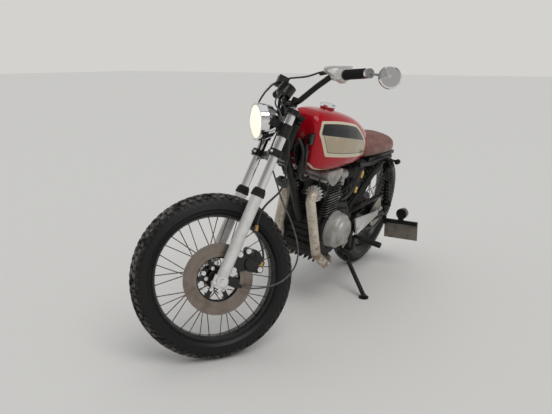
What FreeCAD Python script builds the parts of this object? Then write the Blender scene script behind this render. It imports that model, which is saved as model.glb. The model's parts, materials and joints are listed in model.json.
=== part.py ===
"""A cafe racer motorcycle, parked on its side stand, as an assembly of named pieces.

Lengths are millimetres and angles are degrees. Every piece is first drawn on the upright
machine, where X points forward, Y to the rider's left and Z up, from the rear tyre's contact.
The pieces that steer are drawn along the steering axis. Each piece then takes the placement
of its group, which leans the machine on its side stand with the fork at its right stop.
"""
import FreeCAD, Part
import math
import os
import Sketcher
from FreeCAD import Placement, Rotation, Vector

SIZES = {
    # Stance of the whole machine.
    "wheelbase": 1390, "rake_angle": 26.5, "fork_offset": 55.5, "lean_angle": 12, "lock_angle": 42,
    "fit_gap": 0.3, "overrun": 4,
    # Front wheel: 19 inch spoked rim.
    "front_tyre_radius": 325, "front_tyre_width": 92, "front_bead_radius": 241,
    "front_rim_width": 60, "rim_lip": 11, "rim_well": 6, "rim_gauge": 3.2,
    "spoke_count": 36, "spoke_diameter": 4, "spoke_shift": 4.5, "spoke_lay_angle": 52,
    "front_hub_radius": 27, "front_flange_radius": 44, "front_flange_place": 27,
    "front_flange_gauge": 7, "front_hub_half_width": 48, "axle_diameter": 17,
    # Rear wheel: 18 inch spoked rim with a drum brake.
    "rear_tyre_radius": 328, "rear_tyre_width": 112, "rear_bead_radius": 229,
    "rear_rim_width": 68, "rear_hub_radius": 48, "rear_flange_radius": 76,
    "rear_flange_place": 32, "drum_radius": 86, "drum_width": 34, "sprocket_radius": 88,
    "sprocket_gauge": 7, "sprocket_plane": 72, "rear_axle_diameter": 18,
    # Front disc and its calliper.
    "disc_radius": 137.5, "disc_inner_radius": 86, "disc_gauge": 5, "disc_plane": 62,
    "carrier_gauge": 5, "carrier_boss_radius": 42, "carrier_windows": 6, "calliper_angle": 131,
    "calliper_length": 86, "calliper_depth": 66, "calliper_half_width": 31, "calliper_slot": 17,
    # Fork.
    "leg_place": 94, "slider_radius": 23, "slider_top": 344, "slider_foot": 30, "seal_radius": 27.5,
    "seal_height": 34, "tube_radius": 17.3, "tube_sink": 60, "cap_nut_height": 4,
    "lower_clamp_foot": 509, "lower_clamp_gauge": 27, "clamp_boss_radius": 28,
    "clamp_space": 146, "top_clamp_gauge": 20, "stem_radius": 14, "head_radius": 29,
    "stem_bore_radius": 8, "stem_bore_depth": 45, "lower_bearing_gap": 12, "upper_bearing_gap": 6,
    # Handlebar and what it carries.
    "bar_diameter": 22.2, "riser_height": 42, "bar_forward": 48, "bar_half_width": 425,
    "bar_bore_radius": 8.8, "bar_bore_depth": 45, "bar_rise": 110, "bar_pullback": 66,
    "bar_bend": 45, "riser_place": 44, "riser_radius": 15,
    "grip_diameter": 34, "grip_length": 124, "switch_length": 46, "switch_depth": 44,
    "lever_length": 165, "lever_gauge": 9, "perch_length": 26,
    "perch_depth": 34, "lever_lead": 52, "reservoir_side": 46, "reservoir_height": 34,
    "mirror_diameter": 78, "mirror_depth": 12, "mirror_reach": 88, "mirror_turn_angle": 63,
    "mirror_rod_diameter": 8,
    # Lamps and gauge.
    "headlight_radius": 74, "headlight_lens_radius": 64, "headlight_depth": 96,
    "headlight_forward": 150, "lens_bulge": 14, "rim_depth": 16,
    "ear_gauge": 5, "ear_height": 52, "gauge_radius": 32, "gauge_depth": 54,
    "gauge_lift": 76, "gauge_forward": 86, "block_side": 34, "bracket_radius": 6,
    "tail_radius": 30, "tail_depth": 40, "signal_radius": 13, "signal_length": 22,
    "stalk_radius": 6, "signal_reach": 170,
    # Tank, seat and cap.
    "tank_front": 966, "tank_length": 582, "tank_foot": 704, "tank_height": 256,
    "tank_half_width": 126, "tunnel_half_width": 46, "tunnel_height": 136, "neck_radius": 31,
    "neck_place": 762, "neck_top": 958, "cap_radius": 35, "cap_depth": 15,
    "seat_overlap": 40, "seat_length": 388, "seat_lift": 5.5, "seat_thickness": 98,
    "seat_half_width": 116, "pan_gauge": 12,
    # Frame.
    "spine_radius": 24, "down_radius": 18, "rail_radius": 12.5, "tube_place": 44,
    "rail_place": 98, "rail_height": 672, "pivot_forward": 398, "pivot_height": 338,
    "heel_forward": 432, "heel_height": 232, "pivot_radius": 9, "rail_front": 560, "rail_rear": 40,
    "frame_bend": 60, "plate_gauge": 8, "mount_reach": 126, "mount_lift": 41,
    # Swingarm and shocks.
    "arm_radius": 17, "arm_place": 104, "shock_top_forward": 196,
    "shock_foot_forward": 52, "shock_foot_height": 372, "shock_place": 136, "spring_radius": 28,
    "spring_wire": 8, "spring_turns": 9, "damper_radius": 21, "shock_eye_radius": 15,
    "shock_eye_width": 22,
    # Engine.
    "crank_forward": 680, "crank_height": 405, "cylinder_tilt": 15, "case_half_width": 108,
    "case_radius": 104, "case_foot": 236, "sump_half_width": 70, "gearbox_forward": 492,
    "gearbox_drop": 32, "gearbox_radius": 66, "sump_front": 772, "sump_length": 190,
    "barrel_foot": 90, "barrel_height": 84, "barrel_half_width": 106, "barrel_half_depth": 74,
    "head_height": 68, "head_half_depth": 84, "cover_height": 42, "cover_half_width": 104,
    "cover_half_depth": 74, "fin_count": 8, "fin_gauge": 2.6, "fin_reach": 14,
    "alternator_radius": 87, "alternator_reach": 80, "clutch_radius": 92, "clutch_reach": 52,
    # Intake and exhaust.
    "carb_radius": 24, "carb_length": 70, "carb_place": 62, "filter_radius": 33,
    "filter_length": 46, "port_place": 62, "port_reach": 14, "port_height": 221,
    "pipe_radius": 22, "collar_radius": 36, "collar_gauge": 16, "silencer_radius": 46,
    "silencer_length": 430, "outlet_radius": 19, "outlet_depth": 70,
    # Controls, stand and back end.
    "peg_radius": 14, "peg_length": 112, "peg_forward": 474, "peg_height": 328, "peg_place": 180,
    "peg_bend": 30,
    "hanger_place": 128, "hanger_front": 452, "hanger_rear": 150, "hanger_top": 404,
    "hanger_foot": 306, "hanger_tip": 22, "hanger_gauge": 9,
    "stand_radius": 11, "stand_pivot_forward": 430, "stand_pivot_place": 122,
    "stand_pivot_height": 186, "stand_foot_forward": 525, "stand_foot_place": 292,
    "stand_foot_radius": 24, "stand_pin_radius": 7, "stand_hinge_angle": 36.1,
    "stand_lug_radius": 17, "stand_lug_gauge": 14, "running_gap": 0.05,
    "plate_width": 190, "plate_height": 106, "number_plate_gauge": 3, "box_length": 128,
    "box_width": 98, "box_height": 184, "chain_gauge": 18,
    "chain_height": 13, "front_sprocket_radius": 33, "horn_radius": 36, "horn_depth": 34,
    "hose_radius": 5, "cable_radius": 3.5,
}

doc = FreeCAD.newDocument("motorcycle")
sheet = doc.addObject("Spreadsheet::Sheet", "sizes")
for row, (alias, number) in enumerate(SIZES.items(), start=1):
    sheet.set("A%d" % row, alias)
    sheet.set("B%d" % row, str(number))
    sheet.setAlias("B%d" % row, alias)
doc.recompute()


class Size:
    """A number of the sheet together with the expression that works it out."""

    def __init__(self, value, text):
        self.value = value
        self.text = text

    def __float__(self):
        return float(self.value)

    def __neg__(self):
        return Size(-self.value, "-(%s)" % self.text)

    def __add__(self, other):
        return Size(self.value + float(other), "(%s + %s)" % (self.text, words(other)))

    def __sub__(self, other):
        return Size(self.value - float(other), "(%s - %s)" % (self.text, words(other)))

    def __mul__(self, other):
        return Size(self.value * float(other), "%s * %s" % (self.text, words(other)))

    def __truediv__(self, other):
        return Size(self.value / float(other), "%s / %s" % (self.text, words(other)))

    def __radd__(self, other):
        return self + other

    def __rmul__(self, other):
        return self * other

    def __rsub__(self, other):
        return -self + other


def words(number):
    """The expression text of a size, or of a plain number."""
    return number.text if isinstance(number, Size) else repr(float(number))


class Sizes:
    """Every alias of the sheet as an attribute."""

    def __getattr__(self, name):
        return Size(float(sheet.get(name)), "sizes." + name)


z = Sizes()
SIDES = (1, -1)
RIGHT_ANGLE = 90
FULL_TURN = 360
SIXTH_TURN = 60


def sine(angle):
    return math.sin(math.radians(angle))


def cosine(angle):
    return math.cos(math.radians(angle))


def aim(direction):
    """The turn that carries Z onto a direction."""
    return Rotation(Vector(0, 0, 1), direction)


# Where each group of pieces stands.

rake = float(z.rake_angle)
axis_up = Vector(-sine(rake), 0, cosine(rake))
axis_forward = Vector(cosine(rake), 0, sine(rake))
front_axle = Vector(z.wheelbase, 0, z.front_tyre_radius)
steering_foot = front_axle - axis_forward * float(z.fork_offset)
steering_frame = Placement(steering_foot, Rotation(Vector(0, 1, 0), -rake))
rear_axle_frame = Placement(Vector(0, 0, z.rear_tyre_radius), Rotation(Vector(1, 0, 0), -RIGHT_ANGLE))
front_axle_frame = Placement(Vector(z.fork_offset, 0, 0), Rotation(Vector(1, 0, 0), -RIGHT_ANGLE))
steered = steering_frame.multiply(Placement(Vector(), Rotation(Vector(0, 0, 1), -float(z.lock_angle))))


# Rows: shares of the tyre's half width across and of its crown's height, from shoulder to shoulder.
crown_shares = ((1.0, 0.0), (0.8, 0.62), (0.34, 0.96), (-0.34, 0.96), (-0.8, 0.62), (-1.0, 0.0))


def lowest(wheel, radius, width):
    """The lowest height of a tyre whose wheel has this placement."""
    crown = float(width) / 2
    slope = abs(wheel.Rotation.multVec(Vector(0, 0, 1)).z)
    level = math.sqrt(1 - slope * slope)
    return wheel.Base.z - max((float(radius) - crown + crown * up) * level + crown * out * slope
                              for out, up in crown_shares)


def parked(pitch):
    """The machine leaned to its left and pitched about the rear contact."""
    turn = Rotation(Vector(0, 1, 0), pitch).multiply(Rotation(Vector(1, 0, 0), -float(z.lean_angle)))
    return Placement(Vector(), turn)


def tyre_heights(park):
    front = park.multiply(steered).multiply(front_axle_frame)
    rear = park.multiply(rear_axle_frame)
    return (lowest(front, z.front_tyre_radius, z.front_tyre_width),
            lowest(rear, z.rear_tyre_radius, z.rear_tyre_width))


def seat_tyres(rounds=8):
    """The lean and pitch at which both tyres touch the ground."""
    pitch = 0
    for _ in range(rounds):
        front, rear = tyre_heights(parked(pitch))
        pitch += math.degrees((front - rear) / float(z.wheelbase))
    park = parked(pitch)
    park.Base = Vector(0, 0, -tyre_heights(park)[1])
    return park


park = seat_tyres()
GROUPS = {"chassis": park, "steering": park.multiply(steered)}
GROUPS["front_wheel"] = GROUPS["steering"].multiply(front_axle_frame)
GROUPS["rear_wheel"] = park.multiply(rear_axle_frame)
GROUPS["stand"] = park
GROUPS["cap"] = park
pieces = {}

# Heights along the steering axis and along the frame that follow from the sheet.
lower_clamp_top = z.lower_clamp_foot + z.lower_clamp_gauge
top_clamp_foot = lower_clamp_top + z.clamp_space
top_clamp_top = top_clamp_foot + z.top_clamp_gauge
headlight_share = 0.541096
headlight_height = lower_clamp_top + z.clamp_space * headlight_share
bar_height = top_clamp_top + z.riser_height
seat_foot = z.rail_height + z.rail_radius + z.seat_lift
seat_front = z.tank_front - z.tank_length + z.seat_overlap
mount_forward = z.crank_forward + z.mount_reach
mount_height = z.crank_height + z.mount_lift


def keep(piece, label, group, place=Placement()):
    """Name a finished piece and stand it where its group stands."""
    piece.Label = label
    piece.Placement = GROUPS[group].multiply(place)
    pieces[label] = (piece, group)
    return piece


def keep_shape(label, group, shape, place=Placement()):
    """A piece whose shape is made with Part's own functions."""
    return keep_feature(doc.addObject("Part::Feature", label), label, group, shape, place)


def keep_feature(piece, label, group, shape, place):
    piece.Shape = shape
    return keep(piece, label, group, place)


# Sketches whose corners are bound to the sheet.

def plane_of(body, role):
    return [item for item in body.Origin.OriginFeatures if item.Role == role][0]


def new_sketch(body, role, name, lift=None):
    sketch = body.newObject("Sketcher::SketchObject", name)
    sketch.AttachmentSupport = [(plane_of(body, role), "")]
    sketch.MapMode = "FlatFace"
    if lift is not None:
        sketch.setExpression("AttachmentOffset.Base.z", lift.text)
        sketch.AttachmentOffset = Placement(Vector(0, 0, lift), Rotation())
    return sketch


def bound(sketch, kind, geometry, point, size):
    number = sketch.addConstraint(Sketcher.Constraint(kind, -1, 1, geometry, point, float(size)))
    if isinstance(size, Size):
        sketch.setExpression("Constraints[%d]" % number, size.text)


def outline(sketch, corners):
    """A closed outline of straight lines through corners, each bound to the sheet."""
    first = sketch.GeometryCount
    ends = corners[1:] + corners[:1]
    for start, end in zip(corners, ends):
        sketch.addGeometry(Part.LineSegment(Vector(*start, 0), Vector(*end, 0)), False)
    count = len(corners)
    for index, (across, along) in enumerate(corners):
        before = first + (index - 1) % count
        sketch.addConstraint(Sketcher.Constraint("Coincident", before, 2, first + index, 1))
        bound(sketch, "DistanceX", first + index, 1, across)
        bound(sketch, "DistanceY", first + index, 1, along)


def ring(sketch, radius, across=0, along=0):
    """A circle bound to the sheet."""
    number = sketch.addGeometry(Part.Circle(Vector(across, along, 0), Vector(0, 0, 1), float(radius)), False)
    rule = sketch.addConstraint(Sketcher.Constraint("Radius", number, float(radius)))
    sketch.setExpression("Constraints[%d]" % rule, radius.text)
    bound(sketch, "DistanceX", number, 3, across)
    bound(sketch, "DistanceY", number, 3, along)


def new_body(label):
    return doc.addObject("PartDesign::Body", label)


def turned(label, group, corners, place=Placement()):
    """A round piece: corners are (radius, height along the axis), turned about local Z."""
    body = new_body(label)
    turn_profile(body, corners, label)
    return keep(body, label, group, place)


def turn_profile(body, corners, name):
    sketch = new_sketch(body, "XZ_Plane", name + "_profile")
    outline(sketch, corners)
    spin = body.newObject("PartDesign::Revolution", name + "_turn")
    spin.Profile = sketch
    spin.ReferenceAxis = (sketch, ["V_Axis"])
    spin.Angle = FULL_TURN
    return spin


def padded(body, name, role, lift, length, draw, reverse=False):
    """Pad what draw puts in a sketch, from a lift over one of the body's planes."""
    sketch = new_sketch(body, role, name + "_sketch", lift)
    draw(sketch)
    pad = body.newObject("PartDesign::Pad", name)
    pad.Profile = sketch
    pad.Length = float(length)
    pad.setExpression("Length", length.text)
    pad.Reversed = reverse
    return pad


def rectangle(half_across, half_along, across=0, along=0):
    """A drawing of one centred rectangle."""
    def draw(sketch):
        outline(sketch, [(half_across + across, half_along + along),
                         (-half_across + across, half_along + along),
                         (-half_across + across, -half_along + along),
                         (half_across + across, -half_along + along)])
    return draw


def disc_drawing(*radii):
    """A drawing of rings about the origin."""
    def draw(sketch):
        for radius in radii:
            ring(sketch, radius)
    return draw


# Solids made with Part's own functions.

def rod(start, end, radius):
    """A round bar from one point to another."""
    run = end - start
    return Part.makeCylinder(float(radius), run.Length, start, run)


def six_sided(start, end, radius):
    """A thin bar of six flats from one point to another."""
    run = end - start
    corners = [Vector(float(radius) * cosine(turn), float(radius) * sine(turn), 0)
               for turn in range(0, FULL_TURN + 1, SIXTH_TURN)]
    bar = Part.Face(Part.makePolygon(corners)).extrude(Vector(0, 0, run.Length))
    bar.Placement = Placement(start, aim(run))
    return bar


def slab(centre, length, width, height):
    """A box about a centre."""
    corner = centre - Vector(length, width, height) * 0.5
    return Part.makeBox(float(length), float(width), float(height), corner)


def mirror_pair(shape):
    """A shape and its mirror image across the machine's middle plane."""
    return [shape, shape.mirror(Vector(), Vector(0, 1, 0))]


def bent(points, bend):
    """Straight runs through points, joined by tangent arcs of one radius where they fit."""
    edges = []
    start = points[0]
    for before, corner, after in zip(points, points[1:], points[2:]):
        back = (before - corner).normalize()
        ahead = (after - corner).normalize()
        turn = math.pi - back.getAngle(ahead)
        room = min((before - corner).Length, (after - corner).Length) / 2
        trim = min(float(bend) * math.tan(turn / 2), room * 0.96)
        radius = trim / math.tan(turn / 2)
        entry = corner + back * trim
        leave = corner + ahead * trim
        bisector = (back + ahead).normalize()
        middle = corner + bisector * (radius / math.cos(turn / 2) - radius)
        edges.append(Part.makeLine(start, entry))
        edges.append(Part.Arc(entry, middle, leave).toShape())
        start = leave
    edges.append(Part.makeLine(start, points[-1]))
    return Part.Wire(edges)


def pipe(points, radius, bend):
    """A round bar along straight runs joined by arcs."""
    path = bent(points, bend)
    heading = points[1] - points[0]
    section = Part.Wire(Part.makeCircle(float(radius), points[0], heading))
    return path.makePipeShell([section], True, False)


def joined(shapes):
    """One solid out of shapes that overlap."""
    return shapes[0].fuse(shapes[1:])


def spread(shares, *spans):
    """Points whose coordinates are shares of named spans."""
    return [Vector(*(share * float(span) for share, span in zip(row, spans))) for row in shares]


# Wheels. They are drawn about local Z, which lies along the axle and points to the left.

def tyre_shape(radius, width, bead, rim_width):
    """A tyre with a round crown, turned about the axle."""
    crown = width / 2
    foot = rim_width / 2 - z.rim_gauge - z.fit_gap
    seat = bead + z.fit_gap
    middle = radius - crown
    across = [(middle + crown * up, crown * out) for out, up in crown_shares]
    return revolved([(seat, foot), (seat + z.rim_lip, foot)] + across
                    + [(seat + z.rim_lip, -foot), (seat, -foot)])


def revolved(corners):
    """A solid turned about Z from (radius, height) corners."""
    points = [Vector(out, 0, along) for out, along in corners]
    face = Part.Face(Part.makePolygon(points + points[:1]))
    return face.revolve(Vector(), Vector(0, 0, 1), FULL_TURN)


def rim_shape(bead, width):
    """A dropped-centre rim."""
    half = width / 2
    gauge = z.rim_gauge
    well = bead - z.rim_well
    return revolved([
        (bead + z.rim_lip, half), (bead + z.rim_lip, half - gauge), (bead, half - gauge),
        (well, half / 2), (well, -half / 2), (bead, gauge - half),
        (bead + z.rim_lip, gauge - half), (bead + z.rim_lip, -half), (bead - gauge, -half),
        (well - gauge, -half / 2), (well - gauge, half / 2), (bead - gauge, half)])


def hub_shape(bore, radius, flange, place, gauge, half_width):
    """A hub with two spoke flanges and a bore for the axle."""
    return revolved([
        (bore, half_width), (radius, half_width), (radius, place + gauge / 2),
        (flange, place + gauge / 2), (flange, place - gauge / 2), (radius, place - gauge / 2),
        (radius, gauge / 2 - place), (flange, gauge / 2 - place), (flange, -place - gauge / 2),
        (radius, -place - gauge / 2), (radius, -half_width), (bore, -half_width)])


def spokes(flange, place, rim):
    """Crossed spokes from both flanges to the middle of the rim."""
    count = int(float(z.spoke_count))
    reach = float(flange) - float(z.spoke_diameter)
    bars = []
    for number in range(count):
        side = SIDES[number % 2]
        lay = SIDES[number // 2 % 2]
        rim_angle = FULL_TURN * number / count
        hub_angle = rim_angle + lay * float(z.spoke_lay_angle)
        inner = Vector(reach * cosine(hub_angle), reach * sine(hub_angle),
                       side * (float(place) + lay * float(z.spoke_shift)))
        outer = Vector(float(rim) * cosine(rim_angle), float(rim) * sine(rim_angle),
                       side * float(z.spoke_shift))
        bars.append(six_sided(inner, outer, z.spoke_diameter / 2))
    return bars


def make_front_wheel():
    keep_shape("front_tyre", "front_wheel",
               tyre_shape(z.front_tyre_radius, z.front_tyre_width, z.front_bead_radius,
                          z.front_rim_width))
    bore = z.axle_diameter / 2 + z.running_gap
    rim = rim_shape(z.front_bead_radius, z.front_rim_width)
    hub = hub_shape(bore, z.front_hub_radius, z.front_flange_radius, z.front_flange_place,
                    z.front_flange_gauge, z.front_hub_half_width)
    reach = z.front_bead_radius - z.rim_well - z.rim_gauge / 2
    bars = spokes(z.front_flange_radius, z.front_flange_place, reach)
    keep_shape("front_wheel_laced", "front_wheel", rim.fuse([hub] + bars))
    face = z.disc_plane - z.disc_gauge / 2
    turned("front_disc", "front_wheel",
           [(z.disc_radius, face), (z.disc_radius, face + z.disc_gauge),
            (z.disc_inner_radius, face + z.disc_gauge), (z.disc_inner_radius, face)])
    make_disc_carrier(face)


def make_disc_carrier(face):
    """The black spider between the hub and the disc, with a window between each two arms."""
    body = new_body("disc_carrier")
    outer = z.disc_inner_radius + z.carrier_gauge * 2
    bore = z.axle_diameter / 2 + z.running_gap
    turn_profile(body, [
        (bore, z.front_hub_half_width + z.fit_gap),
        (z.carrier_boss_radius, z.front_hub_half_width + z.fit_gap),
        (z.carrier_boss_radius, face - z.carrier_gauge), (outer, face - z.carrier_gauge),
        (outer, face - z.fit_gap / 3), (bore, face - z.fit_gap / 3)], "disc_carrier")
    sketch = new_sketch(body, "XY_Plane", "window_sketch", face - z.carrier_gauge - z.overrun)
    place = (z.carrier_boss_radius + z.disc_inner_radius) / 2
    ring(sketch, (z.disc_inner_radius - z.carrier_boss_radius) * 0.36, place, 0)
    doc.recompute()
    window = body.newObject("PartDesign::Pocket", "window")
    window.Profile = sketch
    window.Length = float(z.carrier_gauge + z.overrun * 3)
    window.setExpression("Length", (z.carrier_gauge + z.overrun * 3).text)
    window.Reversed = True
    windows = body.newObject("PartDesign::PolarPattern", "windows")
    windows.Originals = [window]
    windows.Axis = (sketch, ["N_Axis"])
    windows.Angle = FULL_TURN
    windows.Occurrences = int(float(z.carrier_windows))
    body.Tip = windows
    keep(body, "disc_carrier", "front_wheel")


def make_rear_wheel():
    keep_shape("rear_tyre", "rear_wheel",
               tyre_shape(z.rear_tyre_radius, z.rear_tyre_width, z.rear_bead_radius,
                          z.rear_rim_width))
    bore = z.rear_axle_diameter / 2 + z.running_gap
    rim = rim_shape(z.rear_bead_radius, z.rear_rim_width)
    half = z.rear_flange_place + z.drum_width / 2
    hub = hub_shape(bore, z.rear_hub_radius, z.rear_flange_radius, z.rear_flange_place,
                    z.front_flange_gauge, half)
    drum = revolved([(bore, -half), (z.drum_radius, -half),
                     (z.drum_radius, z.drum_width - half), (bore, z.drum_width - half)])
    reach = z.rear_bead_radius - z.rim_well - z.rim_gauge / 2
    bars = spokes(z.rear_flange_radius, z.rear_flange_place, reach)
    keep_shape("rear_wheel_laced", "rear_wheel", rim.fuse([hub, drum] + bars))
    foot = z.sprocket_plane - z.sprocket_gauge / 2
    body = new_body("rear_sprocket")
    turn_profile(body, [(bore, half + z.fit_gap), (z.rear_hub_radius, half + z.fit_gap),
                        (z.rear_hub_radius, foot), (z.sprocket_radius, foot),
                        (z.sprocket_radius, foot + z.sprocket_gauge),
                        (bore, foot + z.sprocket_gauge)], "rear_sprocket")
    keep(body, "rear_sprocket", "rear_wheel")


# Fork and steering head. Local Z runs up the steering axis and X points forward.

def leg_at(height, side=1):
    return Vector(z.fork_offset, float(z.leg_place) * side, height)


def make_fork():
    slider = rod(leg_at(-z.slider_foot), leg_at(z.slider_top), z.slider_radius)
    bore = rod(leg_at(z.slider_top - z.tube_sink), leg_at(z.slider_top + z.overrun),
               z.tube_radius + z.fit_gap)
    axle_hole = rod(Vector(z.fork_offset, z.leg_place - z.slider_radius * 2, 0),
                    Vector(z.fork_offset, z.leg_place + z.slider_radius * 2, 0),
                    z.axle_diameter / 2 + z.fit_gap / 3)
    lower = slider.cut([bore, axle_hole])
    keep_shape("fork_sliders", "steering", Part.makeCompound(mirror_pair(lower)))
    seal_top = z.slider_top + z.seal_height
    seal = rod(leg_at(z.slider_top + z.fit_gap), leg_at(seal_top), z.seal_radius)
    seal = seal.cut(rod(leg_at(z.slider_top - z.overrun), leg_at(seal_top + z.overrun),
                        z.tube_radius + z.fit_gap))
    keep_shape("fork_seals", "steering", Part.makeCompound(mirror_pair(seal)))
    tube_foot = z.slider_top - z.tube_sink + z.fit_gap
    tube = rod(leg_at(tube_foot), leg_at(top_clamp_top + z.cap_nut_height), z.tube_radius)
    keep_shape("fork_tubes", "steering", Part.makeCompound(mirror_pair(tube)))
    half = z.leg_place + z.slider_radius + z.collar_gauge / 2
    axle = rod(Vector(z.fork_offset, -half, 0), Vector(z.fork_offset, half, 0), z.axle_diameter / 2)
    keep_shape("front_axle", "steering", axle)


def clamp_plate(foot, gauge, boss):
    """A clamp across both legs with a boss round each and one round the stem."""
    top = foot + gauge
    left = leg_at(foot, 1)
    right = leg_at(foot, -1)
    web = slab(Vector(z.fork_offset * 0.5, 0, foot + gauge / 2), z.fork_offset, z.leg_place * 2,
               gauge * 0.8)
    parts = [web, rod(left, leg_at(top, 1), boss), rod(right, leg_at(top, -1), boss),
             rod(Vector(0, 0, foot), Vector(0, 0, top), z.head_radius)]
    holes = [rod(leg_at(foot - z.overrun, side), leg_at(top + z.overrun, side),
                 z.tube_radius + z.fit_gap / 3) for side in SIDES]
    return joined(parts).cut(holes)


lean_back = Vector(-sine(rake / 2), 0, cosine(rake / 2))
gauge_centre = Vector(z.gauge_forward, 0, top_clamp_top + z.gauge_lift)
gauge_frame = Placement(gauge_centre - lean_back * (float(z.gauge_depth) / 2), aim(lean_back))


def make_clamps():
    lower = clamp_plate(z.lower_clamp_foot, z.lower_clamp_gauge, z.clamp_boss_radius)
    stem_top = top_clamp_top + z.overrun
    stem = rod(Vector(0, 0, z.lower_clamp_foot), Vector(0, 0, stem_top), z.stem_radius)
    socket = rod(Vector(0, 0, z.lower_clamp_foot - z.overrun),
                 Vector(0, 0, z.lower_clamp_foot + z.stem_bore_depth), z.stem_bore_radius)
    keep_shape("lower_clamp", "steering", lower.fuse(stem).cut(socket))
    upper = clamp_plate(top_clamp_foot, z.top_clamp_gauge, z.clamp_boss_radius)
    upper = upper.cut(rod(Vector(0, 0, top_clamp_foot - z.overrun),
                          Vector(0, 0, stem_top + z.overrun), z.stem_radius + z.fit_gap / 3))
    risers = []
    for side in SIDES:
        foot = Vector(z.bar_forward, float(z.riser_place) * side, top_clamp_foot + z.top_clamp_gauge / 2)
        top = Vector(z.bar_forward, float(z.riser_place) * side, bar_height + z.bar_diameter * 0.8)
        risers.append(rod(foot, top, z.riser_radius))
    bar_hole = rod(Vector(z.bar_forward, -z.leg_place, bar_height),
                   Vector(z.bar_forward, z.leg_place, bar_height),
                   z.bar_diameter / 2 + z.fit_gap / 3)
    block = slab(Vector(z.block_side * 0.75, -z.riser_place * 0.9,
                        top_clamp_top + z.block_side / 2),
                 z.block_side, z.block_side, z.block_side)
    web_height = top_clamp_foot + z.top_clamp_gauge / 2
    gauge_foot = gauge_frame.Base - gauge_frame.Rotation.multVec(Vector(0, 0, z.fit_gap))
    before_bar = Vector(z.gauge_forward - z.bracket_radius, 0, web_height)
    bracket = pipe([gauge_foot, gauge_foot - lean_back * float(z.bracket_radius * 2), before_bar,
                    Vector(z.fork_offset - z.bracket_radius, 0, web_height)],
                   z.bracket_radius, z.bracket_radius * 2)
    keep_shape("top_clamp", "steering", upper.fuse(risers + [block, bracket]).cut(bar_hole))


bar_shares = ((0, 0, 0), (0.19, 0, 0), (0.345, 0.6, 0.3), (0.5, 1.0, 0.5), (1, 1, 1))


def bar_point(row):
    across, up, back = row
    return Vector(z.bar_forward - z.bar_pullback * back, z.bar_half_width * across,
                  bar_height + z.bar_rise * up)


def make_handlebar():
    left = [bar_point(row) for row in bar_shares]
    right = [Vector(point.x, -point.y, point.z) for point in left[:0:-1]]
    bar = pipe(right + left[1:], z.bar_diameter / 2, z.bar_bend)
    tip = right[0]
    inward = (right[1] - tip).normalize()
    bore = rod(tip - inward * float(z.overrun), tip + inward * float(z.bar_bore_depth), z.bar_bore_radius)
    keep_shape("handlebar", "steering", bar.cut(bore))


def bar_frame(side, distance):
    """A place on the bar's end run, a distance in from its tip, with Z pointing outward."""
    inner = bar_point(bar_shares[-2])
    tip = bar_point(bar_shares[-1])
    if side < 0:
        inner.y = -inner.y
        tip.y = -tip.y
    outward = (tip - inner).normalize()
    ahead = Vector(0, 0, 1).cross(outward).normalize() * -side
    up = outward.cross(ahead) * side
    base = tip - outward * float(distance)
    turn = FreeCAD.Matrix(ahead.x, up.x * side, outward.x, base.x, ahead.y, up.y * side, outward.y, base.y,
                          ahead.z, up.z * side, outward.z, base.z, 0, 0, 0, 1)
    return Placement(turn)


def make_grips():
    radius = z.grip_diameter / 2
    bore = z.bar_diameter / 2 + z.fit_gap / 3
    grips = []
    for side in SIDES:
        grip = revolved([(bore, 0), (radius + 3 * z.fit_gap, 0), (radius, z.grip_length * 0.1),
                         (radius, z.grip_length * 0.94), (radius * 0.9, z.grip_length),
                         (bore, z.grip_length)])
        grip.Placement = bar_frame(side, z.grip_length)
        grips.append(grip)
    keep_shape("grips", "steering", Part.makeCompound(grips))


def control_shape(length, depth, bore):
    """A rounded switch housing round the bar."""
    body = Part.makeCylinder(float(depth) / 2, float(length))
    body = body.fuse(slab(Vector(0, 0, length / 2), depth * 0.7, depth * 1.1, length * 0.8))
    return body.cut(Part.makeCylinder(float(bore), float(length) * 2))


def make_controls():
    """The switch housing and the lever's perch on each side, and both levers."""
    bore = z.bar_diameter / 2 + z.fit_gap / 3
    inset = z.grip_length + z.switch_length + z.perch_length + z.fit_gap * 2
    levers = []
    for side, label in ((1, "left_control"), (-1, "right_control")):
        housing = control_shape(z.switch_length, z.switch_depth, bore)
        housing = housing.translated(Vector(0, 0, z.perch_length + z.fit_gap))
        perch = Part.makeCylinder(float(z.perch_depth) / 2, float(z.perch_length))
        nose = slab(Vector(z.lever_lead / 2, 0, z.perch_length / 2), z.lever_lead, z.perch_depth * 0.5,
                    z.perch_length)
        parts = [nose]
        if side < 0:
            parts.append(slab(Vector(z.lever_lead * 0.5, z.reservoir_height * 0.75, z.perch_length / 2),
                              z.reservoir_side, z.reservoir_height, z.reservoir_side))
        hollow = rod(Vector(0, 0, -z.perch_length), Vector(0, 0, z.perch_length * 2), bore)
        perch = perch.fuse(parts).cut(hollow)
        keep_shape(label, "steering", Part.makeCompound([housing, perch]), bar_frame(side, inset))
        path = [Vector(z.lever_lead + z.fit_gap + z.lever_gauge / 2, 0, z.perch_length / 2),
                Vector(z.lever_lead + z.lever_gauge, 0, z.lever_length * 0.4),
                Vector(z.lever_lead * 0.9, 0, z.lever_length)]
        lever = pipe(path, z.lever_gauge / 2, z.lever_length)
        lever.Placement = bar_frame(side, inset)
        levers.append(lever)
    keep_shape("hand_levers", "steering", Part.makeCompound(levers))


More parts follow.
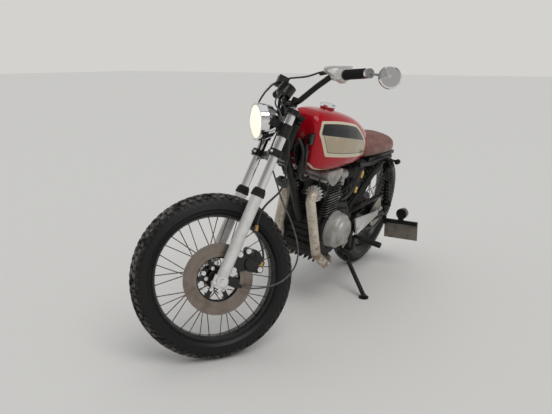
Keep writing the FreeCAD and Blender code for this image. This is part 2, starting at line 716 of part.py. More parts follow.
def make_mirror():
    """The round bar-end mirror on the left: clamp, arm and a shallow dish."""
    place = bar_frame(1, 0)
    clamp = Part.makeCylinder(float(z.grip_diameter) / 2, float(z.collar_gauge), Vector(0, 0, z.fit_gap))
    centre = Vector(-z.mirror_diameter * 0.4, 0, z.mirror_reach)
    arm = rod(Vector(0, 0, z.collar_gauge / 2), centre, z.mirror_rod_diameter / 2)
    radius = z.mirror_diameter / 2
    dish = revolved([(0, 0), (radius * 0.86, 0), (radius, z.mirror_depth * 0.3),
                     (radius, z.mirror_depth), (0, z.mirror_depth)])
    facing = Vector(-cosine(float(z.mirror_turn_angle)), 0, -sine(float(z.mirror_turn_angle)))
    dish.Placement = Placement(centre, aim(facing))
    keep_shape("mirror", "steering", joined([clamp, arm, dish]), place)


shell_share = 0.96


def make_headlight():
    level = aim(Vector(cosine(rake), 0, -sine(rake)))
    place = Placement(Vector(z.headlight_forward, 0, headlight_height), level)
    radius = z.headlight_radius
    turned("headlight_shell", "steering", [
        (0, -z.headlight_depth), (radius * 0.5, -z.headlight_depth * 0.93),
        (radius * 0.84, -z.headlight_depth * 0.66), (radius * shell_share, -z.headlight_depth * 0.35),
        (radius * shell_share, -z.rim_depth), (radius, -z.rim_depth), (radius, 0),
        (z.headlight_lens_radius, 0), (z.headlight_lens_radius, -z.rim_depth / 2),
        (0, -z.rim_depth / 2)], place)
    lens = z.headlight_lens_radius - z.fit_gap
    turned("headlight_lens", "steering", [
        (0, z.fit_gap - z.rim_depth / 2), (lens, z.fit_gap - z.rim_depth / 2), (lens, 0),
        (lens * 0.6, z.lens_bulge * 0.7), (0, z.lens_bulge)], place)
    make_ears()


def make_ears():
    """The two black brackets between the fork tubes and the headlight."""
    ears = []
    foot = headlight_height - z.ear_height / 2
    for side in SIDES:
        sleeve = rod(leg_at(foot, side), leg_at(foot + z.ear_height, side), z.tube_radius + z.ear_gauge)
        hole = rod(leg_at(foot - z.overrun, side), leg_at(foot + z.ear_height + z.overrun, side),
                   z.tube_radius + z.fit_gap / 3)
        reach = z.headlight_forward - z.fork_offset - z.rim_depth * 2
        across = (z.headlight_radius * shell_share + z.ear_gauge / 2 + z.fit_gap) * side
        rise = z.rim_depth * 2 * math.tan(math.radians(rake))
        tab = slab(Vector(z.fork_offset + reach / 2, across, headlight_height + rise), reach,
                   z.ear_gauge, z.ear_height * 0.6)
        ears.append(sleeve.fuse(tab).cut(hole))
    keep_shape("headlight_brackets", "steering", Part.makeCompound(ears))


def make_gauge():
    radius = z.gauge_radius
    turned("speedometer", "steering", [
        (0, 0), (radius * 0.8, 0), (radius, z.gauge_depth * 0.2), (radius, z.gauge_depth),
        (radius * 0.88, z.gauge_depth), (radius * 0.88, z.gauge_depth * 0.92),
        (0, z.gauge_depth * 0.92)], gauge_frame)


def make_calliper():
    """The single-piston calliper behind the left leg, open round the disc."""
    angle = float(z.calliper_angle)
    out = float(z.disc_radius) + float(z.calliper_depth) * 0.12
    centre = Vector(float(z.fork_offset) + out * cosine(angle), z.disc_plane, out * sine(angle))
    body = slab(Vector(), z.calliper_depth, z.calliper_half_width * 2, z.calliper_length)
    slot = slab(Vector(-z.calliper_depth * 0.2, 0, 0), z.calliper_depth, z.calliper_slot,
                z.calliper_length + z.overrun * 2)
    calliper = body.cut(slot)
    calliper.Placement = Placement(centre, Rotation(Vector(0, 1, 0), -angle))
    seat = z.fork_offset - z.slider_radius - z.fit_gap
    bracket = slab(Vector((centre.x + float(seat)) / 2, z.leg_place, centre.z), seat - centre.x,
                   z.plate_gauge, z.calliper_depth * 0.7)
    keep_shape("brake_calliper", "steering", calliper.fuse(bracket))


# Tank, cap and seat: each a skin over rounded cross-sections.

def rounded_section(forward, half_width, foot, top, squareness, waist, foot_squareness):
    """A closed section across the machine, widest at the waist's share of its height.

    Each half is squarer as its own squareness grows."""
    points = []
    count = 16
    middle = float(foot) + (float(top) - float(foot)) * waist
    for step in range(count):
        angle = FULL_TURN * step / count
        rising = sine(angle) > 0
        power = 2 / (squareness if rising else foot_squareness)
        reach = float(top) - middle if rising else middle - float(foot)
        across = abs(cosine(angle)) ** power * math.copysign(1, cosine(angle))
        up = abs(sine(angle)) ** power * math.copysign(1, sine(angle))
        points.append(Vector(forward, float(half_width) * across, middle + reach * up))
    points.append(points[0])
    arcs = [Part.Arc(*points[first:first + 3]).toShape() for first in range(0, count, 2)]
    return Part.Wire(arcs)


# Rows: how far back, half width, foot, top and squareness.
tank_shares = ((0, 0.6, 0.14, 0.9, 3.2), (0.04, 0.7, 0.06, 0.985, 3.3), (0.16, 0.86, 0.01, 1.0, 3.2),
               (0.4, 1.0, 0.0, 0.94, 3.1), (0.62, 0.97, 0.0, 0.83, 3.1), (0.83, 0.82, 0.01, 0.64, 3.1),
               (0.955, 0.6, 0.03, 0.49, 3.0), (1, 0.42, 0.08, 0.4, 2.8))
seat_shares = ((0, 0.66, 0.1, 0.78, 2.4), (0.06, 0.82, 0.03, 0.95, 2.5), (0.33, 0.96, 0.0, 1.0, 2.5),
               (0.7, 1.0, 0.0, 0.98, 2.5), (0.93, 0.82, 0.03, 0.88, 2.5), (1, 0.52, 0.16, 0.66, 2.4))
tank_waist_share = 0.36
seat_waist_share = 0.4
tank_foot_squareness = 5
seat_foot_squareness = 2.5


def skinned(rows, front, length, half_width, foot, height, waist, foot_squareness):
    sections = []
    for back, width, low, high, squareness in rows:
        sections.append(rounded_section(front - length * back, half_width * width, foot + height * low,
                                        foot + height * high, squareness, waist, foot_squareness))
    return Part.makeLoft(sections, True, True)


def make_tank():
    tank = skinned(tank_shares, z.tank_front, z.tank_length, z.tank_half_width, z.tank_foot,
                   z.tank_height, tank_waist_share, tank_foot_squareness)
    tunnel = slab(Vector(z.tank_front - z.tank_length / 2, 0, z.tank_foot + z.tunnel_height / 2 - z.overrun),
                  z.tank_length * 1.2, z.tunnel_half_width * 2, z.tunnel_height)
    neck = rod(Vector(z.neck_place, 0, z.tank_foot + z.tank_height * 0.8),
               Vector(z.neck_place, 0, z.neck_top), z.neck_radius)
    keep_shape("fuel_tank", "chassis", tank.fuse(neck).cut(tunnel))
    turned("fuel_cap", "cap", [
        (0, z.fit_gap), (z.cap_radius * 0.94, z.fit_gap), (z.cap_radius, z.cap_depth * 0.25),
        (z.cap_radius, z.cap_depth * 0.8), (z.cap_radius * 0.85, z.cap_depth), (0, z.cap_depth)],
        Placement(Vector(z.neck_place, 0, z.neck_top), Rotation()))


def make_seat():
    seat = skinned(seat_shares, seat_front, z.seat_length, z.seat_half_width, seat_foot,
                   z.seat_thickness, seat_waist_share, seat_foot_squareness)
    floor = seat_foot + z.pan_gauge
    below = slab(Vector(seat_front - z.seat_length / 2, 0, seat_foot),
                 z.seat_length * 1.2, z.seat_half_width * 3, z.pan_gauge * 2)
    room = z.pan_gauge / 2
    tank_room = skinned(tank_shares, z.tank_front + room, z.tank_length + room * 2, z.tank_half_width + room,
                        z.tank_foot - room, z.tank_height + room * 2, tank_waist_share, tank_foot_squareness)
    keep_shape("seat", "chassis", seat.cut([below, tank_room]))
    pan_front = z.rail_front - z.frame_bend * 3
    pan_rear = seat_front - z.seat_length * 0.97
    pan_foot = z.rail_height + z.rail_radius + z.fit_gap
    pan_top = floor - z.fit_gap
    pan = slab(Vector((pan_front + pan_rear) / 2, 0, (pan_foot + pan_top) / 2), pan_front - pan_rear,
               z.seat_half_width * 1.72, pan_top - pan_foot)
    keep_shape("seat_pan", "chassis", pan)


# Frame. The spine, downtube, posts, rails and loop are one welded piece.

stand_frame = Placement(Vector(z.stand_pivot_forward, z.stand_pivot_place, z.stand_pivot_height),
                        Rotation(Vector(1, 0, 0), -float(z.stand_hinge_angle)))


def stand_bracket():
    """The plate, pin and pin head that carry the side stand, drawn with Z along the pin."""
    inner = z.stand_lug_gauge / 2 + z.fit_gap
    far_end = z.stand_lug_radius * 2.8
    near_end = z.stand_pin_radius * 1.6
    plate = slab(Vector(0, (near_end - far_end) / 2, -inner - z.plate_gauge / 2),
                 near_end * 2, near_end + far_end, z.plate_gauge)
    pin = rod(Vector(0, 0, -inner - z.plate_gauge / 2), Vector(0, 0, inner + z.plate_gauge / 2),
              z.stand_pin_radius)
    head = rod(Vector(0, 0, inner), Vector(0, 0, inner + z.plate_gauge / 2), z.stand_pin_radius * 1.6)
    solids = []
    for shape in (plate, pin, head):
        shape.Placement = stand_frame
        solids.append(shape)
    corner = stand_frame.multVec(Vector(0, z.rail_radius - far_end, -inner - z.plate_gauge / 2))
    solids.append(rod(Vector(z.heel_forward, corner.y, z.heel_height), corner, z.rail_radius))
    return solids


def make_frame():
    head_top = steering_frame.multVec(Vector(0, 0, top_clamp_foot - z.upper_bearing_gap))
    head_foot = steering_frame.multVec(Vector(0, 0, lower_clamp_top + z.lower_bearing_gap))
    head = rod(head_foot, head_top, z.head_radius)
    bore = rod(head_foot - axis_up * float(z.overrun), head_top + axis_up * float(z.overrun),
               z.stem_radius + z.running_gap)
    upper = head_foot + (head_top - head_foot) * 0.3
    lower = head_foot + (head_top - head_foot) * 0.25
    rail_level = z.rail_height + z.rail_radius
    spine = pipe([upper, Vector(z.neck_place, 0, z.tank_foot + z.tunnel_height * 0.45),
                  Vector(z.rail_front - z.frame_bend, 0, rail_level)], z.spine_radius, z.tank_length)
    mount = Vector(mount_forward, 0, mount_height)
    down = rod(lower, mount, z.down_radius)
    tank_mount_height = z.tank_foot + z.tunnel_height * 0.45
    tank_mount = rod(Vector(z.neck_place, z.fit_gap - z.tunnel_half_width, tank_mount_height),
                     Vector(z.neck_place, z.tunnel_half_width - z.fit_gap, tank_mount_height),
                     z.spine_radius * 0.7)
    cross = rod(Vector(z.rail_front - z.frame_bend, -z.rail_place, rail_level),
                Vector(z.rail_front - z.frame_bend, z.rail_place, rail_level), z.rail_radius)
    heel = rod(Vector(z.heel_forward, -z.rail_place, z.heel_height),
               Vector(z.heel_forward, z.rail_place, z.heel_height), z.rail_radius)
    loop = pipe([Vector(z.rail_front - z.frame_bend, z.rail_place, rail_level),
                 Vector(z.rail_front - z.frame_bend * 3, z.rail_place, z.rail_height),
                 Vector(z.rail_rear, z.rail_place, z.rail_height),
                 Vector(z.rail_rear, -z.rail_place, z.rail_height),
                 Vector(z.rail_front - z.frame_bend * 3, -z.rail_place, z.rail_height),
                 Vector(z.rail_front - z.frame_bend, -z.rail_place, rail_level)],
                z.rail_radius, z.frame_bend)
    parts = [head, spine, down, tank_mount, cross, heel, loop]
    for side in SIDES:
        near = float(z.tube_place) * side
        wide = float(z.rail_place) * side
        post = pipe([Vector(z.rail_front - z.frame_bend, near, rail_level),
                     Vector(z.pivot_forward, near, z.pivot_height),
                     Vector(z.heel_forward, near, z.heel_height)], z.rail_radius, z.frame_bend)
        brace = rod(Vector(z.pivot_forward, near, z.pivot_height + z.frame_bend),
                    Vector(z.shock_top_forward, wide, z.rail_height), z.rail_radius)
        stud = rod(Vector(z.shock_top_forward, wide, z.rail_height),
                   Vector(z.shock_top_forward, (float(z.shock_place) + float(z.shock_eye_width)) * side,
                          z.rail_height), z.shock_eye_radius / 2)
        parts += [post, brace, stud]
        stay = pipe([Vector(z.heel_forward, wide, z.heel_height),
                     Vector(z.heel_forward, wide + float(z.peg_bend) * side * 1.4, z.heel_height),
                     Vector(z.peg_forward, (float(z.peg_place) - float(z.peg_bend)) * side, z.peg_height),
                     Vector(z.peg_forward, (float(z.peg_place) - float(z.fit_gap)) * side, z.peg_height)],
                    z.peg_radius * 0.7, z.peg_bend)
        parts.append(stay)
    reach = z.arm_place + z.arm_radius * 1.5
    parts.append(rod(Vector(z.pivot_forward, -reach, z.pivot_height),
                     Vector(z.pivot_forward, reach, z.pivot_height), z.pivot_radius))
    parts += stand_bracket()
    frame = joined(parts).cut(bore)
    keep_shape("frame", "chassis", frame)


# Swingarm, rear axle, shocks and the chain.

def make_swingarm():
    axle = Vector(0, 0, z.rear_tyre_radius)
    pivot = Vector(z.pivot_forward, 0, z.pivot_height)
    parts = []
    for side in SIDES:
        across = Vector(0, float(z.arm_place) * side, 0)
        half = Vector(0, z.arm_radius, 0)
        parts.append(rod(pivot + across, axle - Vector(z.arm_radius * 2, 0, 0) + across, z.arm_radius))
        parts.append(rod(pivot + across - half, pivot + across + half, z.arm_radius * 1.3))
    behind = pivot - Vector(z.arm_radius * 2.6, 0, 0)
    parts.append(rod(behind - Vector(0, z.arm_place, 0), behind + Vector(0, z.arm_place, 0), z.arm_radius))
    reach = Vector(0, z.arm_place + z.arm_radius * 2, 0)
    holes = [rod(axle - reach, axle + reach, z.rear_axle_diameter / 2 + z.fit_gap / 3),
             rod(pivot - reach, pivot + reach, z.pivot_radius + z.fit_gap / 3)]
    keep_shape("swingarm", "chassis", joined(parts).cut(holes))
    end = Vector(0, z.arm_place + z.arm_radius + z.collar_gauge, 0)
    keep_shape("rear_axle", "chassis", rod(axle - end, axle + end, z.rear_axle_diameter / 2))


def make_shocks():
    """Two dampers and the coil springs round them."""
    foot = Vector(z.shock_foot_forward, z.shock_place, z.shock_foot_height)
    top = Vector(z.shock_top_forward, z.shock_place, z.rail_height)
    along = (top - foot).normalize()
    length = (top - foot).Length
    half = Vector(0, z.shock_eye_width / 2, 0)
    eye_low = rod(foot - half, foot + half, z.shock_eye_radius)
    eye_high = rod(top - half, top + half, z.shock_eye_radius)
    body = rod(foot, foot + along * (length * 0.6), z.damper_radius - z.spring_wire / 2)
    stem = rod(foot, top, z.mirror_rod_diameter)
    hat = rod(foot + along * (length * 0.84), foot + along * (length * 0.92), z.spring_radius)
    base = rod(foot + along * (length * 0.1), foot + along * (length * 0.16), z.spring_radius)
    damper = joined([body, stem, hat, base, eye_low, eye_high])
    holes = [rod(point - half * 2, point + half * 2, z.shock_eye_radius / 2 + z.fit_gap / 3)
             for point in (foot, top)]
    keep_shape("shock_absorbers", "chassis", Part.makeCompound(mirror_pair(damper.cut(holes))))
    span = length * 0.68 - float(z.fit_gap) * 2
    turns = int(float(z.spring_turns))
    pitch = span / turns
    inner = float(z.spring_radius) - float(z.spring_wire)
    corners = [(inner, 0)]
    for turn in range(turns):
        corners += [(float(z.spring_radius) - float(z.spring_wire) * 0.5, pitch * turn),
                    (float(z.spring_radius), pitch * (turn + 0.5))]
    corners += [(float(z.spring_radius) - float(z.spring_wire) * 0.5, span), (inner, span)]
    coil = revolved(corners)
    coil.Placement = Placement(foot + along * (length * 0.16 + float(z.fit_gap)), aim(along))
    keep_shape("shock_springs", "chassis", Part.makeCompound(mirror_pair(coil)))


def make_chain():
    """The drive chain as one closed loop round both sprockets."""
    inner_face = z.sprocket_plane - z.chain_gauge / 2
    rear = Vector(0, inner_face, z.rear_tyre_radius)
    front = Vector(z.gearbox_forward, inner_face, z.crank_height - z.gearbox_drop)
    big = float(z.sprocket_radius) + float(z.fit_gap)
    small = float(z.front_sprocket_radius)
    run = front - rear
    tilt = math.atan2(run.z, run.x)
    spread_angle = math.acos((big - small) / run.Length)

    def loop(grow):
        points = []
        for centre, radius, first, last in ((rear, big + grow, tilt + spread_angle,
                                             tilt + 2 * math.pi - spread_angle),
                                            (front, small + grow, tilt - spread_angle,
                                             tilt + spread_angle)):
            for step in (0, 0.5, 1):
                angle = first + (last - first) * step
                points.append(centre + Vector(math.cos(angle), 0, math.sin(angle)) * radius)
        edges = [Part.Arc(*points[:3]).toShape(), Part.makeLine(points[2], points[3]),
                 Part.Arc(*points[3:]).toShape(), Part.makeLine(points[5], points[0])]
        return Part.Face(Part.Wire(edges))

    ribbon = loop(float(z.chain_height)).cut(loop(0))
    keep_shape("drive_chain", "chassis", ribbon.extrude(Vector(0, z.chain_gauge, 0)))


# Engine. The barrels, head and cover are drawn along the tilted cylinder axis.

crank = Vector(z.crank_forward, 0, z.crank_height)
cylinder_frame = Placement(crank, Rotation(Vector(0, 1, 0), float(z.cylinder_tilt)))


def make_cases():
    half = z.case_half_width
    drum = rod(crank - Vector(0, half, 0), crank + Vector(0, half, 0), z.case_radius)
    gear_centre = Vector(z.gearbox_forward, 0, z.crank_height - z.gearbox_drop)
    narrow = z.sprocket_plane - z.chain_gauge
    gear = rod(gear_centre - Vector(0, half, 0), gear_centre + Vector(0, narrow, 0), z.gearbox_radius)
    middle = slab((crank + gear_centre) * 0.5, (crank - gear_centre).Length, half * 1.7,
                  z.gearbox_radius * 1.6)
    middle = middle.cut(slab(gear_centre + Vector(0, narrow + half / 2, 0), z.gearbox_radius * 2,
                             half, z.gearbox_radius * 3))
    sump_height = z.crank_height - z.case_foot
    sump = slab(Vector(z.sump_front - z.sump_length / 2, 0, z.case_foot + sump_height / 2),
                z.sump_length, z.sump_half_width * 2, sump_height)
    deck = slab(Vector(0, 0, z.barrel_foot / 2), z.barrel_half_depth * 2, z.barrel_half_width * 1.8,
                z.barrel_foot)
    deck.Placement = cylinder_frame
    mount_rear = mount_forward - z.down_radius * 0.81 - z.fit_gap - z.plate_gauge * 2
    mount = slab(Vector(mount_rear, 0, mount_height),
                 z.plate_gauge * 4, z.down_radius * 2, z.down_radius * 2)
    over = slab(Vector(0, 0, z.barrel_foot + z.case_radius / 2), z.barrel_half_depth * 2,
                z.barrel_half_width * 3, z.case_radius)
    over.Placement = cylinder_frame
    output = rod(gear_centre, gear_centre + Vector(0, z.sprocket_plane + z.chain_gauge / 2, 0),
                 z.front_sprocket_radius - z.fit_gap)
    keep_shape("crankcase", "chassis", joined([drum, gear, middle, sump, deck, mount, output]).cut(over))


def finned(label, lift, height, half_depth, half_width, count):
    """A block between two heights on the cylinder axis with cooling fins round it."""
    body = new_body(label)
    inner_depth = half_depth - z.fin_reach
    inner_width = half_width - z.fin_reach
    padded(body, label + "_core", "XY_Plane", lift, height, rectangle(inner_depth, inner_width))
    fin = padded(body, label + "_fin", "XY_Plane", lift + z.fin_gauge, z.fin_gauge,
                 rectangle(half_depth, half_width))
    fins = body.newObject("PartDesign::LinearPattern", label + "_fins")
    fins.Originals = [fin]
    fins.Direction = (fin.Profile[0], ["N_Axis"])
    span = height - z.fin_gauge * 3
    fins.Length = float(span)
    fins.setExpression("Length", span.text)
    fins.Occurrences = count
    body.Tip = fins
    return keep(body, label, "chassis", cylinder_frame)


def make_top_end():
    count = int(float(z.fin_count))
    lift = z.barrel_foot + z.fit_gap
    finned("cylinder_barrels", lift, z.barrel_height, z.barrel_half_depth, z.barrel_half_width, count)
    lift = lift + z.barrel_height + z.fit_gap
    finned("cylinder_head", lift, z.head_height, z.head_half_depth, z.barrel_half_width, count - 2)
    lift = lift + z.head_height + z.fit_gap
    body = new_body("head_cover")
    padded(body, "cover_block", "XY_Plane", lift, z.cover_height,
           rectangle(z.cover_half_depth, z.cover_half_width))
    keep(body, "head_cover", "chassis", cylinder_frame)


def dome(label, centre, radius, reach, side):
    """A domed cover on one side of the cases."""
    place = Placement(centre, aim(Vector(0, side, 0)))
    turned(label, "chassis", [
        (0, 0), (radius, 0), (radius, reach * 0.45), (radius * 0.93, reach * 0.62),
        (radius * 0.8, reach * 0.8), (radius * 0.55, reach * 0.93), (0, reach)], place)


def make_covers():
    edge = z.case_half_width + z.fit_gap
    dome("alternator_cover", crank + Vector(0, edge, 0), z.alternator_radius, z.alternator_reach, 1)
    clutch = Vector((z.crank_forward + z.gearbox_forward) / 2, -edge, z.crank_height - z.gearbox_drop / 2)
    dome("clutch_cover", clutch, z.clutch_radius, z.clutch_reach, -1)


def make_intake():
    carbs = []
    filters = []
    back = Vector(-1, 0, 0)
    for side in SIDES:
        port = cylinder_frame.multVec(Vector(-z.head_half_depth, float(z.carb_place) * side, z.port_height))
        start = port + back * float(z.carb_radius)
        mouth = start + back * float(z.carb_length)
        stub = rod(port + back * float(z.carb_radius * 0.2 + z.fit_gap), mouth, z.carb_radius * 0.7)
        body = rod(start, mouth, z.carb_radius)
        bowl = rod((start + mouth) * 0.5 - Vector(0, 0, z.carb_radius * 2), (start + mouth) * 0.5,
                   z.carb_radius * 0.9)
        carbs.append(joined([body, bowl, stub]))
        first = mouth + back * float(z.fit_gap)
        filters.append(Part.makeCone(float(z.filter_radius) * 0.82, float(z.filter_radius),
                                     float(z.filter_length), first, back))
    keep_shape("carburettors", "chassis", Part.makeCompound(carbs))
    keep_shape("air_filters", "chassis", Part.makeCompound(filters))


# Rows: shares of the crank's place forward, of the port's place across and of the crank's height.
header_shares = ((1.212, 1.5, 0.99), (1.125, 1.58, 0.71), (0.93, 1.6, 0.49))
cross_shares = ((0.81, 1.25, 0.472), (0.66, -1.5, 0.472))
under_shares = ((0.66, 1.5, 0.472),)
tail_shares = (-1, -0.12, 0.09)


def make_exhaust():
    """Two headers that run down and meet under the engine, and one silencer on the right."""
    collars = []
    pipes = []
    out = cylinder_frame.Rotation.multVec(Vector(1, 0, 0))
    for side, rest in ((1, cross_shares), (-1, under_shares)):
        port = cylinder_frame.multVec(Vector(z.head_half_depth + z.fit_gap,
                                             float(z.port_place) * side, z.port_height))
        collar = Part.makeCylinder(float(z.collar_radius), float(z.collar_gauge),
                                   port + out * float(z.port_reach), out)
        hollow = Part.makeCylinder(float(z.pipe_radius) + float(z.fit_gap), float(z.collar_gauge) * 4,
                                   port - out * float(z.collar_gauge), out)
        collars.append(collar.cut(hollow))
        run = spread(header_shares + rest, z.crank_forward, z.port_place * side, z.crank_height)
        if side < 0:
            tail = Vector(*tail_shares).normalize()
            run.append(run[-1] + tail * float(z.collar_radius * 1.6))
        first = port + out * (float(z.port_reach) + float(z.collar_gauge) * 3)
        pipes.append(pipe([port, first] + run, z.pipe_radius, z.collar_radius * 2))
    keep_shape("exhaust_pipes", "chassis", joined(pipes))
    keep_shape("exhaust_collars", "chassis", Part.makeCompound(collars))
    mouth = z.outlet_radius
    turned("silencer", "chassis", [
        (0, 0), (z.pipe_radius * 1.1, 0), (z.silencer_radius, z.silencer_length * 0.16),
        (z.silencer_radius, z.silencer_length * 0.88), (z.pipe_radius * 1.3, z.silencer_length),
        (mouth, z.silencer_length), (mouth, z.silencer_length - z.outlet_depth),
        (0, z.silencer_length - z.outlet_depth)],
        Placement(run[-1] + tail * float(z.fit_gap), aim(tail)))


# Foot controls, side stand, plate and lamps at the back.

def make_pegs():
    pegs = []
    for side in SIDES:
        inner = Vector(z.peg_forward, float(z.peg_place) * side, z.peg_height)
        pegs.append(rod(inner, inner + Vector(0, float(z.peg_length) * side, 0), z.peg_radius))
    keep_shape("foot_pegs", "chassis", Part.makeCompound(pegs))


def make_hangers():
    """The tapered cast plates that run back from the swingarm's pivot on both sides."""
    points = [Vector(z.hanger_front, 0, z.hanger_top),
        Vector(z.hanger_front - z.frame_bend, 0, z.hanger_foot),
              Vector(z.hanger_rear, 0, z.hanger_top - z.hanger_tip * 2),
              Vector(z.hanger_rear, 0, z.hanger_top - z.hanger_tip)]
    face = Part.Face(Part.makePolygon(points + points[:1]))
    plate = face.extrude(Vector(0, z.hanger_gauge, 0))
    plate = plate.translated(Vector(0, z.hanger_place - z.hanger_gauge / 2, 0))
    plate = plate.cut(rod(Vector(z.pivot_forward, 0, z.pivot_height),
                          Vector(z.pivot_forward, z.hanger_place * 2, z.pivot_height),
                          z.pivot_radius + z.fit_gap / 3))
    keep_shape("rear_hangers", "chassis", Part.makeCompound(mirror_pair(plate)))


def make_stand():
    """The side stand: a lug on its slanted pin, a round leg and a flat sole on the ground."""
    pivot = stand_frame.Base
    foot = Vector(z.stand_foot_forward, z.stand_foot_place, 0)
    up = park.Rotation.multVec(Vector(0, 0, 1))
    foot = foot - Vector(0, 0, 1) * (park.multVec(foot).z / up.z)
    ground = park.Rotation.inverted().multVec(Vector(0, 0, 1))
    along = (foot - pivot).normalize()
    half = Vector(0, 0, z.stand_lug_gauge / 2)
    lug = rod(-half, half, z.stand_lug_radius)
    lug.Placement = stand_frame
    heel = foot + ground * float(z.stand_radius)
    shoulder = pivot + along * float(z.stand_lug_radius * 1.6)
    neck = rod(pivot + along * float(z.stand_lug_radius * 0.7), shoulder + along * float(z.stand_radius),
               z.stand_lug_gauge * 0.45)
    leg = rod(shoulder, heel, z.stand_radius)
    tip = Part.makeSphere(float(z.stand_radius) * 1.2, heel)
    sole = Part.makeCylinder(float(z.stand_foot_radius), float(z.stand_radius) * 0.6, foot, ground)
    hole = rod(-half * 2, half * 2, z.stand_pin_radius + z.running_gap)
    hole.Placement = stand_frame
    keep_shape("side_stand", "stand", joined([lug, neck, leg, tip, sole]).cut(hole))


def make_back_end():
    box_top = z.rail_height + z.rail_radius
    box = slab(Vector(z.pivot_forward - z.bar_bend, 0, box_top - z.box_height / 2),
               z.box_length, z.box_width, z.box_height)
    keep_shape("battery_box", "chassis", box)
    signals = []
    for side in SIDES:
        root_place = (float(z.rail_place) + float(z.rail_radius) + float(z.fit_gap)) * side
        root = Vector(z.rail_rear + z.frame_bend * 2, root_place, z.rail_height)
        tip = Vector(root.x, float(z.signal_reach) * side, root.z)
        stalk = rod(root, tip, z.stalk_radius)
        reach = Vector(z.signal_length / 2, 0, 0)
        lamp = rod(tip - reach, tip + reach, z.signal_radius)
        signals.append(joined([stalk, lamp]))
    keep_shape("rear_indicators", "chassis", Part.makeCompound(signals))
    make_plate()


def make_plate():
    """The bare plate beside the rear wheel, level with the ground, with its lamp over it."""
    place = z.arm_place + z.arm_radius + z.plate_width / 2 + z.collar_gauge
    centre = Vector(0, place, z.rear_tyre_radius - z.plate_height / 2)
    level = Rotation(Vector(1, 0, 0), float(z.lean_angle))
    plate = Part.makeBox(float(z.number_plate_gauge), float(z.plate_width), float(z.plate_height),
                         Vector(-z.number_plate_gauge / 2, -z.plate_width / 2, -z.plate_height / 2))
    keep_shape("licence_plate", "chassis", plate, Placement(centre, level))
    seat = z.number_plate_gauge / 2 + z.fit_gap
    root = Vector(seat + z.plate_gauge / 2, -z.plate_width / 2, z.plate_height * 0.4)
    bar = slab(root + Vector(0, z.plate_width * 0.5, 0), z.plate_gauge, z.plate_width, z.plate_height * 0.2)
    stay = slab(root + Vector(0, z.fit_gap * 4, 0), z.plate_gauge, z.collar_gauge * 1.2, z.plate_height * 0.4)
    tab = slab(Vector(root.x, 0, z.plate_height / 2 + z.tail_radius / 2), z.plate_gauge, z.tail_radius,
               z.tail_radius * 1.4)
    keep_shape("plate_bracket", "chassis", joined([bar, stay, tab]), Placement(centre, level))
    lamp_place = centre + level.multVec(Vector(z.number_plate_gauge / 2, 0,
                                               z.plate_height / 2 + z.tail_radius + z.overrun))
    turned("tail_lamp", "chassis", [(0, 0), (z.tail_radius, 0), (z.tail_radius, z.tail_depth * 0.8),
                                    (z.tail_radius * 0.8, z.tail_depth), (0, z.tail_depth)],
           Placement(lamp_place, aim(Vector(-1, 0, 0))))


make_front_wheel()
make_rear_wheel()
make_fork()
make_clamps()
make_handlebar()
make_grips()
make_controls()
make_mirror()
make_headlight()
make_gauge()
make_calliper()
make_tank()
make_seat()
make_frame()
make_swingarm()
make_shocks()
make_chain()
make_cases()
make_top_end()
make_covers()
make_intake()
make_exhaust()
make_pegs()
make_hangers()
make_stand()
make_back_end()
doc.recompute()

# The origin goes on the ground under the middle of the parked machine.
bounds = FreeCAD.BoundBox()
for piece, group in pieces.values():
    bounds.add(piece.Shape.BoundBox)
shift = Vector(-bounds.Center.x, -bounds.Center.y, 0)
for piece, group in pieces.values():
    piece.Placement = Placement(shift, Rotation()).multiply(piece.Placement)
doc.recompute()

for item in doc.Objects:
    if "Invalid" in item.State or "Error" in item.State:
        raise SystemExit("%s did not build" % item.Name)
for label, (piece, group) in pieces.items():
    if piece.Shape.isNull() or not piece.Shape.isValid():
        raise SystemExit("%s has no valid shape" % label)

os.makedirs("parts", exist_ok=True)
for label, (piece, group) in pieces.items():
    piece.Shape.exportStep("parts/%s.step" % label)


def tell(name, *vectors):
    print(name, *["%.7f %.7f %.7f" % (item.x, item.y, item.z) for item in vectors])


moved = Placement(shift, Rotation())
for name in ("steering", "front_wheel", "rear_wheel"):
    frame = moved.multiply(GROUPS[name])
    tell(name, frame.Base, frame.Rotation.multVec(Vector(0, 0, 1)))
hinge = moved.multiply(park).multiply(stand_frame)
tell("side_stand", hinge.Base, hinge.Rotation.multVec(Vector(0, 0, 1)))
neck = moved.multiply(park)
tell("fuel_cap", neck.multVec(Vector(z.neck_place, 0, z.neck_top)), neck.Rotation.multVec(Vector(0, 0, 1)))
socket = moved.multiply(GROUPS["steering"])
tell("head_stand_bore", socket.multVec(Vector(0, 0, z.lower_clamp_foot)),
     socket.Rotation.multVec(Vector(0, 0, -1)))
bar_end = moved.multiply(GROUPS["steering"]).multiply(bar_frame(-1, 0))
tell("bar_end_bore", bar_end.Base, bar_end.Rotation.multVec(Vector(0, 0, 1)))
outlet = pieces["silencer"][0].Placement
tell("silencer_outlet", outlet.multVec(Vector(0, 0, z.silencer_length)),
     outlet.Rotation.multVec(Vector(0, 0, 1)))
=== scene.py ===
import bmesh
import bpy
import json
import math
from mathutils import Matrix, Vector


